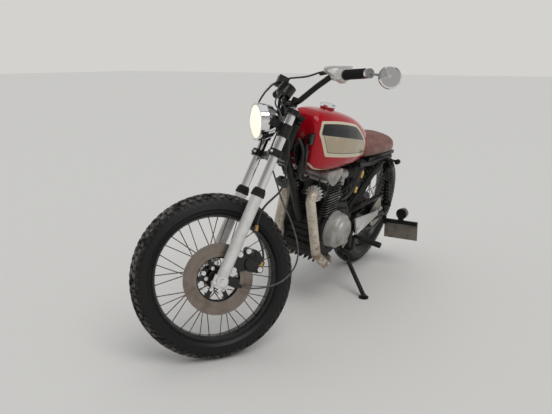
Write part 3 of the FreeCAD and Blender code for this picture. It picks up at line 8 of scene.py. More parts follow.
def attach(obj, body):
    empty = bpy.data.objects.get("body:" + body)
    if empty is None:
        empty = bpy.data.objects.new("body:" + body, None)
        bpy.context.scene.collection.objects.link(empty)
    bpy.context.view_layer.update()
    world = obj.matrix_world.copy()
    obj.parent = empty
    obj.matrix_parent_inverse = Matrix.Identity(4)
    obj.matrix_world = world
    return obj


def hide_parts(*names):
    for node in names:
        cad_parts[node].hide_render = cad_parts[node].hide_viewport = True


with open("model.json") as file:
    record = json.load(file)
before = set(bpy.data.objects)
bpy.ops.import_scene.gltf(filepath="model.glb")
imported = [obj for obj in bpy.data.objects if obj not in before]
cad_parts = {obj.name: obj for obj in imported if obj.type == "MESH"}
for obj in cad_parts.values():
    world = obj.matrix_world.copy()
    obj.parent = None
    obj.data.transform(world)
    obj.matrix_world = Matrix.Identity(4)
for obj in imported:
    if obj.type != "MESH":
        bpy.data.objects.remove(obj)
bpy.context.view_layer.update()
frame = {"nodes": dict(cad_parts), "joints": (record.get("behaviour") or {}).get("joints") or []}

# The machine's own frame. It leans on its side stand, so a place on it is first given upright, in
# metres forward of the rear axle, to the rider's left and above the ground line, and then leaned.
# Places on the fork are given in the fork's frame in the same way.
joints = {joint["name"]: joint for joint in frame["joints"]}


def axes_at(origin, forward, left, up):
    """The matrix that takes a local place to the frame of the whole object."""
    turned = Matrix((forward.normalized(), left.normalized(), up.normalized())).transposed().to_4x4()
    return Matrix.Translation(origin) @ turned


rear_hub = Vector(joints["rear_wheel_spin"]["pos_m"])
front_hub = Vector(joints["front_wheel_spin"]["pos_m"])
machine_left = Vector(joints["rear_wheel_spin"]["axis"]).normalized()
cap_axis = Vector(joints["fuel_cap_turn"]["axis"]).normalized()
machine_forward = machine_left.cross(cap_axis).normalized()
machine_up = machine_forward.cross(machine_left)
rear_radius = 0.328
machine = axes_at(rear_hub - machine_up * rear_radius, machine_forward, machine_left, machine_up)
fork_up = Vector(joints["steering_turn"]["axis"]).normalized()
fork_left = Vector(joints["front_wheel_spin"]["axis"]).normalized()
fork_forward = fork_left.cross(fork_up).normalized()
fork = axes_at(Vector(joints["steering_turn"]["pos_m"]), fork_forward, fork_left, fork_up)
front_wheel = axes_at(front_hub, fork_forward, fork_left, fork_up)
rear_wheel = axes_at(rear_hub, machine_forward, machine_left, machine_up)
# Turns a shape spun round its Z axis so that the axis points to the rider's left.
axle_turn = Matrix.Rotation(-math.pi / 2, 4, "X")

# The studio. A pale floor under a pale world that also shows in the chrome and darkens overhead, a
# broad key lamp on the camera's side and a fainter one overhead.
stage = bpy.context.scene
stage.view_settings.view_transform = "Standard"
camera_data = bpy.data.cameras.new("camera")
camera_data.sensor_width = 36
picture_width = 552
focal_pixels = 627.7
camera_data.lens = focal_pixels / picture_width * camera_data.sensor_width
camera_data.clip_end = 60
camera = bpy.data.objects.new("camera", camera_data)
stage.collection.objects.link(camera)
stage.camera = camera
camera_place = Vector((2.5646, 1.1952, 1.1462))
camera_heading = 1.0266
camera_dip = 0.23343
look = Vector((-math.sin(camera_heading) * math.cos(camera_dip),
               -math.cos(camera_heading) * math.cos(camera_dip), -math.sin(camera_dip)))
camera.matrix_world = Matrix.Translation(camera_place) @ look.to_track_quat("-Z", "Y").to_matrix().to_4x4()

floor_half_size = 40
floor_drop = 0.0005
floor_mesh = bpy.data.meshes.new("floor")
floor_bm = bmesh.new()
bmesh.ops.create_grid(floor_bm, x_segments=1, y_segments=1, size=floor_half_size)
floor_bm.to_mesh(floor_mesh)
floor = bpy.data.objects.new("floor", floor_mesh)
floor.location.z = -floor_drop
stage.collection.objects.link(floor)


def connect(tree, what, socket):
    """Joins another node's output to a socket, or sets the socket to a value."""
    if isinstance(what, bpy.types.NodeSocket):
        tree.links.new(what, socket)
    else:
        socket.default_value = what


def node_of(tree, kind, **sockets):
    """A new node whose named inputs are set to a value or joined to another node's output."""
    node = tree.nodes.new("ShaderNode" + kind)
    for label, what in sockets.items():
        connect(tree, what, node.inputs[label.replace("_", " ")])
    return node


def math_of(tree, operation, *terms, clamp=False):
    """One Math node; a term is a number or another node's output."""
    node = tree.nodes.new("ShaderNodeMath")
    node.operation = operation
    node.use_clamp = clamp
    for place, term in enumerate(terms):
        connect(tree, term, node.inputs[place])
    return node.outputs[0]


def mix_of(tree, share, first, second):
    """A colour between the first and the second; each is a node's output or red, green and blue."""
    node = tree.nodes.new("ShaderNodeMix")
    node.data_type = "RGBA"
    connect(tree, share, node.inputs["Factor"])
    for socket, colour in ((node.inputs[6], first), (node.inputs[7], second)):
        connect(tree, (*colour, 1) if isinstance(colour, tuple) else colour, socket)
    return node.outputs[2]


def plain_material(name, colour=(0.5, 0.5, 0.5), roughness=0.5, metallic=0.0, **more):
    """A material with one Principled shader, its tree and that shader."""
    material = bpy.data.materials.new(name)
    material.use_nodes = True
    tree = material.node_tree
    shader = tree.nodes["Principled BSDF"]
    shader.inputs["Base Color"].default_value = (*colour, 1)
    shader.inputs["Roughness"].default_value = roughness
    shader.inputs["Metallic"].default_value = metallic
    for label, value in more.items():
        shader.inputs[label.replace("_", " ")].default_value = value
    return material, tree, shader


floor_colour = (0.66, 0.645, 0.615)
floor.data.materials.append(plain_material("studio_floor", floor_colour, roughness=0.9)[0])

horizon_colour, zenith_colour = (0.66, 0.645, 0.62), (0.1, 0.1, 0.105)
world = bpy.data.worlds.new("studio")
stage.world = world
world.use_nodes = True
world_tree = world.node_tree
world_light = world_tree.nodes["Background"]
world_light.inputs["Color"].default_value = (0.93, 0.96, 1, 1)
world_light.inputs["Strength"].default_value = 0.42
world_way = node_of(world_tree, "TexCoord")
world_height = node_of(world_tree, "SeparateXYZ", Vector=world_way.outputs["Generated"])
world_shade = node_of(world_tree, "MapRange", Value=world_height.outputs[2], From_Min=0.12, From_Max=0.75)
world_colour = mix_of(world_tree, world_shade.outputs[0], horizon_colour, zenith_colour)
world_seen = node_of(world_tree, "Background", Color=world_colour, Strength=1.0)
light_path = node_of(world_tree, "LightPath")
seen = math_of(world_tree, "MAXIMUM", light_path.outputs["Is Camera Ray"],
               math_of(world_tree, "MAXIMUM", light_path.outputs["Is Transmission Ray"],
                       light_path.outputs["Is Glossy Ray"]))
world_mix = node_of(world_tree, "MixShader")
for socket, what in zip(world_mix.inputs, (seen, world_light.outputs[0], world_seen.outputs[0])):
    connect(world_tree, what, socket)
connect(world_tree, world_mix.outputs[0], world_tree.nodes["World Output"].inputs["Surface"])


def broad_lamp(name, place, spread, strength):
    """A broad sun that shines from a place to the origin, as strong on the far floor as near."""
    data = bpy.data.lights.new(name, "SUN")
    data.angle = spread
    data.energy = strength
    light = bpy.data.objects.new(name, data)
    light.matrix_world = (Matrix.Translation(place)
                          @ (-Vector(place)).to_track_quat("-Z", "Y").to_matrix().to_4x4())
    stage.collection.objects.link(light)


broad_lamp("key", (1.6, 2.6, 4.0), spread=0.7, strength=1.25)
broad_lamp("overhead", (-0.8, -0.4, 4.0), spread=1.2, strength=0.6)

# Tyres. Block-tread rubber, moulded in one piece: a ridged sidewall down to the bead, and staggered
# blocks over the crown. They sit on the rims and carry the whole machine, so they are dusty.


def turned(outline, steps):
    """Spins a closed outline of (radius, place along the axis) round the local Z axis."""
    bm = bmesh.new()
    corners = [bm.verts.new((radius, 0, along)) for radius, along in outline]
    edges = [bm.edges.new((corners[place - 1], corners[place])) for place in range(len(corners))]
    bmesh.ops.spin(bm, geom=corners + edges, cent=(0, 0, 0), axis=(0, 0, 1), angle=2 * math.pi,
                   steps=steps, use_merge=True)
    bmesh.ops.remove_doubles(bm, verts=bm.verts, dist=1e-6)
    return bm


def finished(name, bm, place, body, material, sharp_angle=0.6):
    """Makes a shape a piece that rides on a body, smooth but for its sharp edges."""
    bmesh.ops.transform(bm, matrix=place, verts=bm.verts)
    bmesh.ops.recalc_face_normals(bm, faces=bm.faces)
    for face in bm.faces:
        face.smooth = True
    for edge in bm.edges:
        if len(edge.link_faces) == 2 and edge.calc_face_angle(0) > sharp_angle:
            edge.smooth = False
    mesh = bpy.data.meshes.new(name)
    bm.to_mesh(mesh)
    bm.free()
    piece = bpy.data.objects.new(name, mesh)
    stage.collection.objects.link(piece)
    mesh.materials.append(material)
    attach(piece, body)
    return piece


def local_place(tree, place):
    """Object coordinates taken back to a local frame, so that a pattern can follow a piece."""
    mapping = node_of(tree, "Mapping", Vector=node_of(tree, "TexCoord").outputs["Object"],
                      Location=place.to_translation(), Rotation=place.to_euler())
    mapping.vector_type = "TEXTURE"
    return mapping.outputs[0]


def axes_of(tree, vector):
    """The three numbers of a vector."""
    parts = node_of(tree, "SeparateXYZ", Vector=vector)
    return parts.outputs[0], parts.outputs[1], parts.outputs[2]


def radius_of(tree, first, second):
    """How far a point lies from an axis, by its two distances across that axis."""
    square = math_of(tree, "ADD", math_of(tree, "MULTIPLY", first, first),
                     math_of(tree, "MULTIPLY", second, second))
    return math_of(tree, "SQRT", square)


def axle_radius(tree, place):
    """How far a point lies from the axle of a wheel's frame."""
    forward, _, up = axes_of(tree, local_place(tree, place))
    return radius_of(tree, forward, up)


def scaled(tree, value, share, rest):
    """The value times a share, plus the rest."""
    return math_of(tree, "ADD", math_of(tree, "MULTIPLY", value, share), rest)


def ramp_of(tree, value, low, high):
    """0 below the low end, 1 above the high end and smooth between."""
    node = node_of(tree, "MapRange")
    node.interpolation_type = "SMOOTHSTEP"
    for label, what in (("Value", value), ("From Min", low), ("From Max", high)):
        connect(tree, what, node.inputs[label])
    return node.outputs[0]


# Dirt and wear come from one group: a soft cloud, whose mask is cut between a low and a high level.
mottle = bpy.data.node_groups.new("mottle", "ShaderNodeTree")
for label, kind in (("Vector", "NodeSocketVector"), ("Scale", "NodeSocketFloat"),
                    ("Low", "NodeSocketFloat"), ("High", "NodeSocketFloat")):
    mottle.interface.new_socket(label, in_out="INPUT", socket_type=kind)
for label in ("Mask", "Height"):
    mottle.interface.new_socket(label, in_out="OUTPUT", socket_type="NodeSocketFloat")
mottle_in = mottle.nodes.new("NodeGroupInput").outputs
mottle_out = mottle.nodes.new("NodeGroupOutput").inputs
mottle_cloud = node_of(mottle, "TexNoise", Vector=mottle_in["Vector"], Scale=mottle_in["Scale"], Detail=7,
                       Roughness=0.62).outputs[0]
mottle.links.new(ramp_of(mottle, mottle_cloud, mottle_in["Low"], mottle_in["High"]), mottle_out["Mask"])
mottle.links.new(mottle_cloud, mottle_out["Height"])


def mottled(tree, vector, scale, low, high):
    """The mottle group placed in a material: its mask and its height."""
    node = tree.nodes.new("ShaderNodeGroup")
    node.node_tree = mottle
    for label, what in (("Vector", vector), ("Scale", scale), ("Low", low), ("High", high)):
        connect(tree, what, node.inputs[label])
    return node.outputs["Mask"], node.outputs["Height"]


def bumped(tree, shader, height, strength, distance):
    """Gives a shader fine relief from a height."""
    bump = node_of(tree, "Bump", Height=height, Strength=strength, Distance=distance)
    connect(tree, bump.outputs[0], shader.inputs["Normal"])


def rubber_finish(name, place, crown_radius):
    """Black rubber with pale road dust on its tread and a soft shine on its side."""
    rubber, road_dust = (0.01, 0.01, 0.01), (0.2, 0.18, 0.165)
    material, tree, shader = plain_material(name, rubber, roughness=0.6, Specular_IOR_Level=0.22)
    tread = ramp_of(tree, axle_radius(tree, place), crown_radius - 0.03, crown_radius - 0.002)
    patches, height = mottled(tree, local_place(tree, place), scale=34, low=0.34, high=0.68)
    dust = math_of(tree, "MULTIPLY", math_of(tree, "MULTIPLY", tread, patches), 0.75)
    connect(tree, mix_of(tree, dust, rubber, road_dust), shader.inputs["Base Color"])
    connect(tree, scaled(tree, tread, share=0.42, rest=0.4), shader.inputs["Roughness"])
    bumped(tree, shader, height, strength=0.25, distance=0.001)
    return material


block_depth = 0.009
# A block's bevel, taper and slant are shares of its size, and its root goes below the carcass.
block_bevel_share, block_taper_share, block_slant_share, block_root_share = 0.055, 0.12, 0.25, 1.4
# Rows of blocks: place across the crown, width across, length along and how far on in the pitch.
block_rows = ((0.0108, 0.0175, 0.021, 0.0), (-0.0108, 0.0175, 0.021, 0.5), (0.0315, 0.0165, 0.021, 0.5),
              (-0.0315, 0.0165, 0.021, 0.0), (0.0545, 0.023, 0.0155, 0.0), (-0.0545, 0.023, 0.0155, 0.5))
# The rows are drawn for a tyre of this half width and spread with the tyre.
row_half_width = 0.046
# The sidewall's ridges: shares of the drop from the crown to the bead and of the half width.
sidewall_shares = ((0.3, 0.99), (0.35, 1.01), (0.4, 0.975), (0.66, 0.86), (0.7, 0.875), (0.76, 0.815))
bead_lip = 0.004
tyre_steps = 120
crown_steps = 8
crown_half_turn = 1.35


def tread_block(across, width, length, crown_radius, half_width, crown_height):
    """The mesh of one block of a row, bent over the crown. A cube's X runs along the tread."""
    block = bmesh.new()
    bmesh.ops.create_cube(block, size=1)
    across_edges = [edge for edge in block.edges if abs((edge.verts[0].co - edge.verts[1].co).y) > 0.5]
    bmesh.ops.subdivide_edges(block, edges=across_edges, cuts=1)
    sharp_edges = [edge for edge in block.edges if edge.calc_face_angle(0) > 1]
    bmesh.ops.bevel(block, geom=sharp_edges, offset=block_bevel_share, segments=1, profile=0.5,
                    affect="EDGES", material=-1)
    middle = crown_radius - crown_height
    for corner in block.verts:
        taper = 1 - block_taper_share * (corner.co.z + 0.5)
        slant = corner.co.y * width * block_slant_share * math.copysign(1, across)
        along = (corner.co.x * length * taper + slant) / crown_radius
        turn = (across + corner.co.y * width * taper) / row_half_width
        out = (corner.co.z - 0.5) * block_depth * block_root_share
        radius = middle + (crown_height + out) * math.cos(turn)
        corner.co = (radius * math.cos(along), radius * math.sin(along), (half_width + out) * math.sin(turn))
    mesh = bpy.data.meshes.new("block")
    block.to_mesh(mesh)
    block.free()
    return mesh


def tyre(name, node, place, body, crown_radius, half_width, crown_height, bead_radius, pitches):
    """A carcass spun round the wheel's axis, and its blocks set round the crown."""
    middle = crown_radius - crown_height
    outline = []
    for step in range(-crown_steps, crown_steps + 1):
        turn = step / crown_steps * crown_half_turn
        out = half_width - block_depth * (1 - abs(step) / crown_steps)
        outline.append((middle + (crown_height - block_depth) * math.cos(turn), out * math.sin(turn)))
    drop = middle - bead_radius
    side = [(middle - share * drop, half_width * width) for share, width in sidewall_shares]
    side += [(bead_radius + bead_lip, half_width * 0.68), (bead_radius, half_width * 0.6)]
    outline += side + [(radius, -along) for radius, along in reversed(side)]
    bm = turned(outline, tyre_steps)
    for across, width, length, lead in block_rows:
        mesh = tread_block(across, width, length, crown_radius, half_width, crown_height)
        for pitch in range(pitches):
            first = len(bm.verts)
            bm.from_mesh(mesh)
            bm.verts.ensure_lookup_table()
            bmesh.ops.rotate(bm, cent=(0, 0, 0), verts=bm.verts[first:],
                             matrix=Matrix.Rotation((pitch + lead) * 2 * math.pi / pitches, 3, "Z"))
        bpy.data.meshes.remove(mesh)
    material = rubber_finish(name + "_rubber", place, crown_radius)
    piece = finished(name, bm, place @ axle_turn, body, material)
    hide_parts(node)


tyre("front_block_tyre", "front_tyre", front_wheel, "front_wheel", crown_radius=0.3236,
     half_width=0.0453, crown_height=0.0443, bead_radius=0.241, pitches=64)
tyre("rear_block_tyre", "rear_tyre", rear_wheel, "rear_wheel", crown_radius=0.3256,
     half_width=0.0548, crown_height=0.0538, bead_radius=0.229, pitches=64)

# Laced wheels. Black painted steel rims of a deep U section, dark plated spokes that cross over
# each other, and black hubs with a flange at each side that the spokes hook into.


def dress(material, *names):
    """Gives a finish to pieces of the model that keep their own shape."""
    for name in names:
        mesh = frame["nodes"][name].data
        mesh.materials.clear()
        mesh.materials.append(material)


def wheel_finish(name, place, rim_radius, flange_radius, blur=0.002):
    """Black paint on the rim and hub and dull plated steel on the spokes between."""
    material, tree, shader = plain_material(name, (0.01, 0.01, 0.01), roughness=0.25, Specular_IOR_Level=0.45)
    radius = axle_radius(tree, place)
    inside_rim = math_of(tree, "SUBTRACT", 1.0, ramp_of(tree, radius, rim_radius - blur, rim_radius))
    spoke = math_of(tree, "MULTIPLY", ramp_of(tree, radius, flange_radius, flange_radius + blur), inside_rim)
    patches, _ = mottled(tree, local_place(tree, place), scale=60, low=0.45, high=0.7)
    steel = mix_of(tree, patches, (0.17, 0.155, 0.135), (0.07, 0.05, 0.035))
    dull_share = math_of(tree, "MULTIPLY", patches, 0.35)
    paint = mix_of(tree, dull_share, (0.006, 0.006, 0.006), (0.05, 0.044, 0.038))
    connect(tree, mix_of(tree, spoke, paint, steel), shader.inputs["Base Color"])
    connect(tree, math_of(tree, "MULTIPLY", spoke, 0.75), shader.inputs["Metallic"])
    connect(tree, scaled(tree, patches, share=0.3, rest=0.25), shader.inputs["Roughness"])
    return material


dress(wheel_finish("front_wheel_enamel", front_wheel, rim_radius=0.228, flange_radius=0.046),
      "front_wheel_laced")
dress(wheel_finish("rear_wheel_enamel", rear_wheel, rim_radius=0.214, flange_radius=0.088),
      "rear_wheel_laced")

# Frame, fork and fittings. Welded steel tube in satin black paint that gathers dust in patches,
# stained and grainy cast aluminium, chromed tubes and axles, and bare or plated steel that browns.


def worn_finish(name, colour, stain_and_shade, roughness, metallic, scale=30, low=0.42, high=0.72, share=0.6,
                grain=0.15, **more):
    """A finish whose stains and grain come from the mottle group."""
    material, tree, shader = plain_material(name, colour, roughness, metallic, **more)
    vector = local_place(tree, machine)
    patches, height = mottled(tree, vector, scale, low, high)
    specks, grit = mottled(tree, vector, scale * 9, low=0.3, high=0.8)
    dirt = math_of(tree, "MULTIPLY", patches, share)
    connect(tree, mix_of(tree, dirt, colour, stain_and_shade), shader.inputs["Base Color"])
    rough = math_of(tree, "ADD", math_of(tree, "MULTIPLY", dirt, 0.35),
                    math_of(tree, "MULTIPLY", specks, 0.08))
    connect(tree, math_of(tree, "ADD", rough, roughness, clamp=True), shader.inputs["Roughness"])
    bumped(tree, shader, math_of(tree, "ADD", height, grit), grain, distance=0.0006)
    return material


black_paint = worn_finish("satin_black", (0.007, 0.007, 0.007), (0.03, 0.027, 0.024), roughness=0.3,
                          metallic=0.0, share=0.45, Specular_IOR_Level=0.25)
gloss_black = worn_finish("gloss_black", (0.006, 0.006, 0.006), (0.03, 0.027, 0.025), roughness=0.18,
                          metallic=0.0, share=0.4, Specular_IOR_Level=0.45)
engine_paint = worn_finish("engine_black", (0.009, 0.009, 0.009), (0.05, 0.043, 0.036), roughness=0.46,
                           metallic=0.0, scale=22, grain=0.35, Specular_IOR_Level=0.3)
cast_metal = worn_finish("cast_aluminium", (0.42, 0.41, 0.39), (0.2, 0.18, 0.155), roughness=0.45,
                         metallic=0.55, scale=18, grain=0.3)
bright_cast = worn_finish("bright_aluminium", (0.72, 0.71, 0.69), (0.42, 0.39, 0.35), roughness=0.34,
                          metallic=0.45, scale=20, share=0.4)
chrome = worn_finish("chrome", (0.82, 0.82, 0.82), (0.38, 0.34, 0.3), roughness=0.07, metallic=1.0, scale=26,
                     low=0.55, high=0.8, share=0.5, grain=0.04)
plated_steel = worn_finish("plated_steel", (0.42, 0.39, 0.35), (0.16, 0.11, 0.075), roughness=0.36,
                           metallic=0.85, scale=34)
greasy_steel = worn_finish("greasy_chain", (0.035, 0.03, 0.026), (0.12, 0.1, 0.08), roughness=0.38,
                           metallic=0.7, scale=80)
dull_rubber = worn_finish("dull_rubber", (0.013, 0.013, 0.013), (0.05, 0.046, 0.042), roughness=0.6,
                          metallic=0.0, scale=40, share=0.45, grain=0.3, Specular_IOR_Level=0.2)
brass = worn_finish("brass", (0.62, 0.42, 0.16), (0.25, 0.14, 0.06), roughness=0.3, metallic=0.9)

dress(black_paint, "lower_clamp", "top_clamp", "handlebar", "headlight_brackets", "frame", "swingarm",
      "battery_box", "plate_bracket", "side_stand", "seat_pan", "right_control")
dress(gloss_black, "shock_absorbers", "speedometer")
dress(engine_paint, "clutch_cover")
dress(cast_metal, "carburettors")
dress(bright_cast, "left_control", "hand_levers", "rear_hangers", "fork_sliders")
dress(chrome, "fork_tubes", "front_axle", "rear_axle", "headlight_shell", "fuel_cap")
dress(plated_steel, "rear_sprocket")
dress(greasy_steel, "drive_chain")
dress(dull_rubber, "foot_pegs", "grips", "rear_indicators", "air_filters")

# Front brake disc. Stainless steel, ground in rings by the pads and browned by heat, riveted to a
# black cast carrier that is bolted to the hub.
ring_density = 420.0
disc_finish, disc_tree, disc_shader = plain_material("ground_disc", (0.3, 0.26, 0.22), roughness=0.32,
                                                     metallic=0.9)
ring_place = node_of(disc_tree, "CombineXYZ",
                     X=math_of(disc_tree, "MULTIPLY", axle_radius(disc_tree, front_wheel), ring_density))
ground_rings = node_of(disc_tree, "TexNoise", Vector=ring_place.outputs[0], Scale=1.0, Detail=3.0).outputs[0]
disc_stain, _ = mottled(disc_tree, local_place(disc_tree, front_wheel), scale=25, low=0.4, high=0.7)
ring_mask = math_of(disc_tree, "MULTIPLY", ramp_of(disc_tree, ground_rings, 0.4, 0.62), 0.6)
disc_brown = mix_of(disc_tree, disc_stain, (0.3, 0.26, 0.225), (0.2, 0.165, 0.135))
connect(disc_tree, mix_of(disc_tree, ring_mask, disc_brown, (0.11, 0.088, 0.072)),
        disc_shader.inputs["Base Color"])
bumped(disc_tree, disc_shader, ground_rings, strength=0.4, distance=0.0004)
dress(disc_finish, "front_disc")

# Fuel tank. Pressed and welded steel sheet with a rolled lower edge, painted deep red under lacquer.
# Each side has a bordered panel, black above and beige below, and a cream line runs along the edge.


def smooth_between(rows, share):
    """A row of a table of shares, eased between the rows before and after."""
    place = max(index for index, row in enumerate(rows[:-1]) if row[0] <= share)
    first, second = rows[place], rows[place + 1]
    before, after = rows[max(place - 1, 0)], rows[min(place + 2, len(rows) - 1)]
    gap = second[0] - first[0]
    step = (share - first[0]) / gap
    values = []
    for column in range(1, len(first)):
        lead = (second[column] - before[column]) / max(second[0] - before[0], 1e-6) * gap
        leave = (after[column] - first[column]) / max(after[0] - first[0], 1e-6) * gap
        values.append((2 * step ** 3 - 3 * step ** 2 + 1) * first[column]
                      + (step ** 3 - 2 * step ** 2 + step) * lead
                      + (3 * step ** 2 - 2 * step ** 3) * second[column]
                      + (step ** 3 - step ** 2) * leave)
    return values


def ring_shares(end, margin, steps):
    """Shares of the length, with insets, of a shell's rings: closed ends and even rings between."""
    between = [(margin + (1 - 2 * margin) * step / steps, 1.0) for step in range(steps + 1)]
    return list(end) + between + [(1 - share, inset) for share, inset in reversed(end)]


ring_corners = 72


def rounded_ring(bm, layer, x, half_width, foot, top, waist_share, squareness, foot_squareness, inset):
    """A ring across the machine, rounded above and squarer below, shrunk to its middle by inset."""
    ring = bmesh.ops.create_circle(bm, cap_ends=False, segments=ring_corners, radius=1)["verts"]
    middle = foot + (top - foot) * waist_share
    for corner in ring:
        turn = math.atan2(corner.co.y, corner.co.x)
        power = 2 / (squareness if math.sin(turn) > 0 else foot_squareness)
        across = math.copysign(abs(math.cos(turn)) ** power, math.cos(turn)) * inset
        rise = math.copysign(abs(math.sin(turn)) ** power, math.sin(turn)) * inset
        corner.co = (x, across * half_width, middle + rise * (top - middle if rise > 0 else middle - foot))
        corner[layer] = corner.co.z - foot
    return ring


def ring_edges(ring):
    """The edges that join a ring's corners to one another."""
    inside = set(ring)
    return [edge for corner in ring for edge in corner.link_edges
            if edge.verts[0] is corner and edge.other_vert(corner) in inside]


def skinned(rings, bm):
    """Bridges rings one after another and closes both ends."""
    loops = [ring_edges(ring) for ring in rings]
    for first, second in zip(loops, loops[1:]):
        bmesh.ops.bridge_loops(bm, edges=first + second)
    for ring in (rings[0], rings[-1]):
        bmesh.ops.contextual_create(bm, geom=ring)


def add_shape(bm, shape):
    """Moves a shape into a larger one."""
    mesh = bpy.data.meshes.new("shape")
    shape.to_mesh(mesh)
    shape.free()
    bm.from_mesh(mesh)
    bpy.data.meshes.remove(mesh)


tank_front, tank_length, tank_half_width, tank_foot, tank_height = 0.966, 0.582, 0.126, 0.704, 0.256
tank_end = ((0.0, 0.5), (0.0, 0.93), (0.006, 0.98))
# Shares of the tank: length, width, foot and top of a ring, and how square its upper half is.
tank_shares = ((0, 0.6, 0.14, 0.9, 3.2), (0.04, 0.7, 0.06, 0.985, 3.3), (0.16, 0.86, 0.01, 1.0, 3.2),
               (0.4, 1, 0, 0.94, 3.1), (0.62, 0.97, 0, 0.83, 3.1), (0.83, 0.82, 0.01, 0.64, 3.1),
               (0.955, 0.6, 0.03, 0.49, 3.0), (1, 0.42, 0.08, 0.4, 2.8))
tank_bm = bmesh.new()
tank_lift = tank_bm.verts.layers.float.new("lift")
tank_rings = []
for share, inset in ring_shares(tank_end, margin=0.014, steps=34):
    width, low, high, squareness = smooth_between(tank_shares, min(share, 0.9999))
    tank_rings.append(rounded_ring(
        tank_bm, tank_lift, tank_front - tank_length * share, tank_half_width * min(width, 1),
        tank_foot + tank_height * max(low, 0), tank_foot + tank_height * min(high, 1), waist_share=0.36,
        squareness=squareness, foot_squareness=5, inset=inset))
skinned(tank_rings, tank_bm)
# The filler neck stands under the cap. Its lift is above the edge line, so it stays red.
neck_forward, neck_height = 0.762, 0.2
neck_outline = ((0.034, 0.93), (0.0325, 0.945), (0.031, 0.956), (0.027, 0.9572), (0.026, 0.93))
neck_bm = turned(neck_outline, steps=40)
neck_lift = neck_bm.verts.layers.float.new("lift")
for corner in neck_bm.verts:
    corner.co.x += neck_forward
    corner[neck_lift] = neck_height
add_shape(tank_bm, neck_bm)

tank_paint, tank_tree, tank_shader = plain_material("lacquered_red", (0.36, 0.004, 0.012), roughness=0.2,
                                                    Specular_IOR_Level=0.2, Coat_Weight=0.22,
                                                    Coat_Roughness=0.05)
tank_place = local_place(tank_tree, machine)
along, _, height = axes_of(tank_tree, tank_place)


def line_of(tree, first, second, first_share, second_share, rest):
    """The value first_share * first + second_share * second + rest."""
    total = math_of(tree, "ADD", math_of(tree, "MULTIPLY", first, first_share),
                    math_of(tree, "MULTIPLY", second, second_share))
    return math_of(tree, "ADD", total, rest)


# The panel's top is an arc that falls away from its front corner. Each straight side has a direction
# inwards, forward and up, and a point that it passes, and the rear end is upright.
panel_front, panel_top, panel_bow, panel_rear, corner_round = 0.941, 0.929, -0.39, 0.488, 0.012
panel_sides = (((0.547, -0.837), (0.639, 0.890)), ((-0.109, 0.994), (0.903, 0.780)),
               ((-0.883, 0.468), (0.903, 0.780)), ((-0.956, -0.293), (0.955, 0.880)))
from_front = math_of(tank_tree, "SUBTRACT", panel_front, along)
front_square = math_of(tank_tree, "MULTIPLY", from_front, from_front)
panel_edges = [line_of(tank_tree, along, height, ahead, up, -ahead * x - up * z)
               for (ahead, up), (x, z) in panel_sides]
panel_edges.append(math_of(tank_tree, "SUBTRACT", along, panel_rear))
panel_depth = line_of(tank_tree, front_square, height, panel_bow, second_share=-1.0, rest=panel_top)
for edge in panel_edges:
    panel_depth = math_of(tank_tree, "SMOOTH_MIN", panel_depth, edge, corner_round)
border_width, pinline_outside, pinline_inside = 0.0105, 0.0165, 0.019
border_blur, pinline_blur, edge_blur = 0.0008, 0.0007, 0.0006
in_panel = ramp_of(tank_tree, panel_depth, 0.0, border_blur)
in_field = ramp_of(tank_tree, panel_depth, border_width, border_width + border_blur)
pin_in = ramp_of(tank_tree, panel_depth, pinline_outside, pinline_outside + pinline_blur)
pin_out = ramp_of(tank_tree, panel_depth, pinline_inside, pinline_inside + pinline_blur)
field_line = line_of(tank_tree, from_front, front_square, first_share=-0.105, second_share=-0.11, rest=0.874)
in_top = ramp_of(tank_tree, math_of(tank_tree, "SUBTRACT", height, field_line), -0.0005, 0.0005)
scuffs, _ = mottled(tank_tree, tank_place, scale=14, low=0.45, high=0.75)
cream, edge_cream, field_black = (0.62, 0.55, 0.4), (0.7, 0.62, 0.46), (0.012, 0.012, 0.013)
field_beige = mix_of(tank_tree, scuffs, (0.42, 0.35, 0.235), (0.5, 0.43, 0.31))
red = mix_of(tank_tree, scuffs, (0.4, 0.003, 0.011), (0.3, 0.002, 0.008))
pin = math_of(tank_tree, "SUBTRACT", pin_in, pin_out)
low_field = mix_of(tank_tree, pin, mix_of(tank_tree, pin_in, cream, field_beige), field_black)
fields = mix_of(tank_tree, in_top, low_field, field_black)
painted = mix_of(tank_tree, in_panel, red, mix_of(tank_tree, in_field, cream, fields))
edge_foot, edge_top = 0.006, 0.0125
lift_node = node_of(tank_tree, "Attribute")
lift_node.attribute_name = "lift"
lift = lift_node.outputs["Fac"]
edge_line = math_of(tank_tree, "SUBTRACT", ramp_of(tank_tree, lift, edge_foot, edge_foot + edge_blur),
                    ramp_of(tank_tree, lift, edge_top, edge_top + edge_blur))
connect(tank_tree, mix_of(tank_tree, edge_line, painted, edge_cream), tank_shader.inputs["Base Color"])
connect(tank_tree, scaled(tank_tree, scuffs, share=0.12, rest=0.12), tank_shader.inputs["Roughness"])
tank_piece = finished("tank_shell", tank_bm, machine, "chassis", tank_paint, sharp_angle=0.9)
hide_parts("fuel_tank")

# Solo seat. Reddish brown leather over moulded foam on a black pan. The top is sewn in ribs that run
# across it, and a welt joins it to the plain sides.
seat_front, seat_length, seat_half_width, seat_foot, seat_thickness = 0.422, 0.384, 0.114, 0.692, 0.094
seat_end = ((0.0, 0.4), (0.0, 0.8), (0.004, 0.93))
seat_waist_share = 0.4
seat_shares = ((0, 0.66, 0.1, 0.78, 2.4), (0.06, 0.82, 0.03, 0.95, 2.5), (0.33, 0.96, 0, 1, 2.5),
               (0.7, 1, 0, 0.98, 2.5), (0.93, 0.82, 0.03, 0.88, 2.5), (1, 0.52, 0.16, 0.66, 2.4))
rib_pitch, rib_depth, rib_roundness = 0.024, 0.0075, 1.6
# Shares of the length that the ribs cover, and of the thickness at which they start and are whole.
rib_start_share, rib_end_share, rib_foot_share, rib_fade_share = 0.06, 0.95, 0.18, 0.12
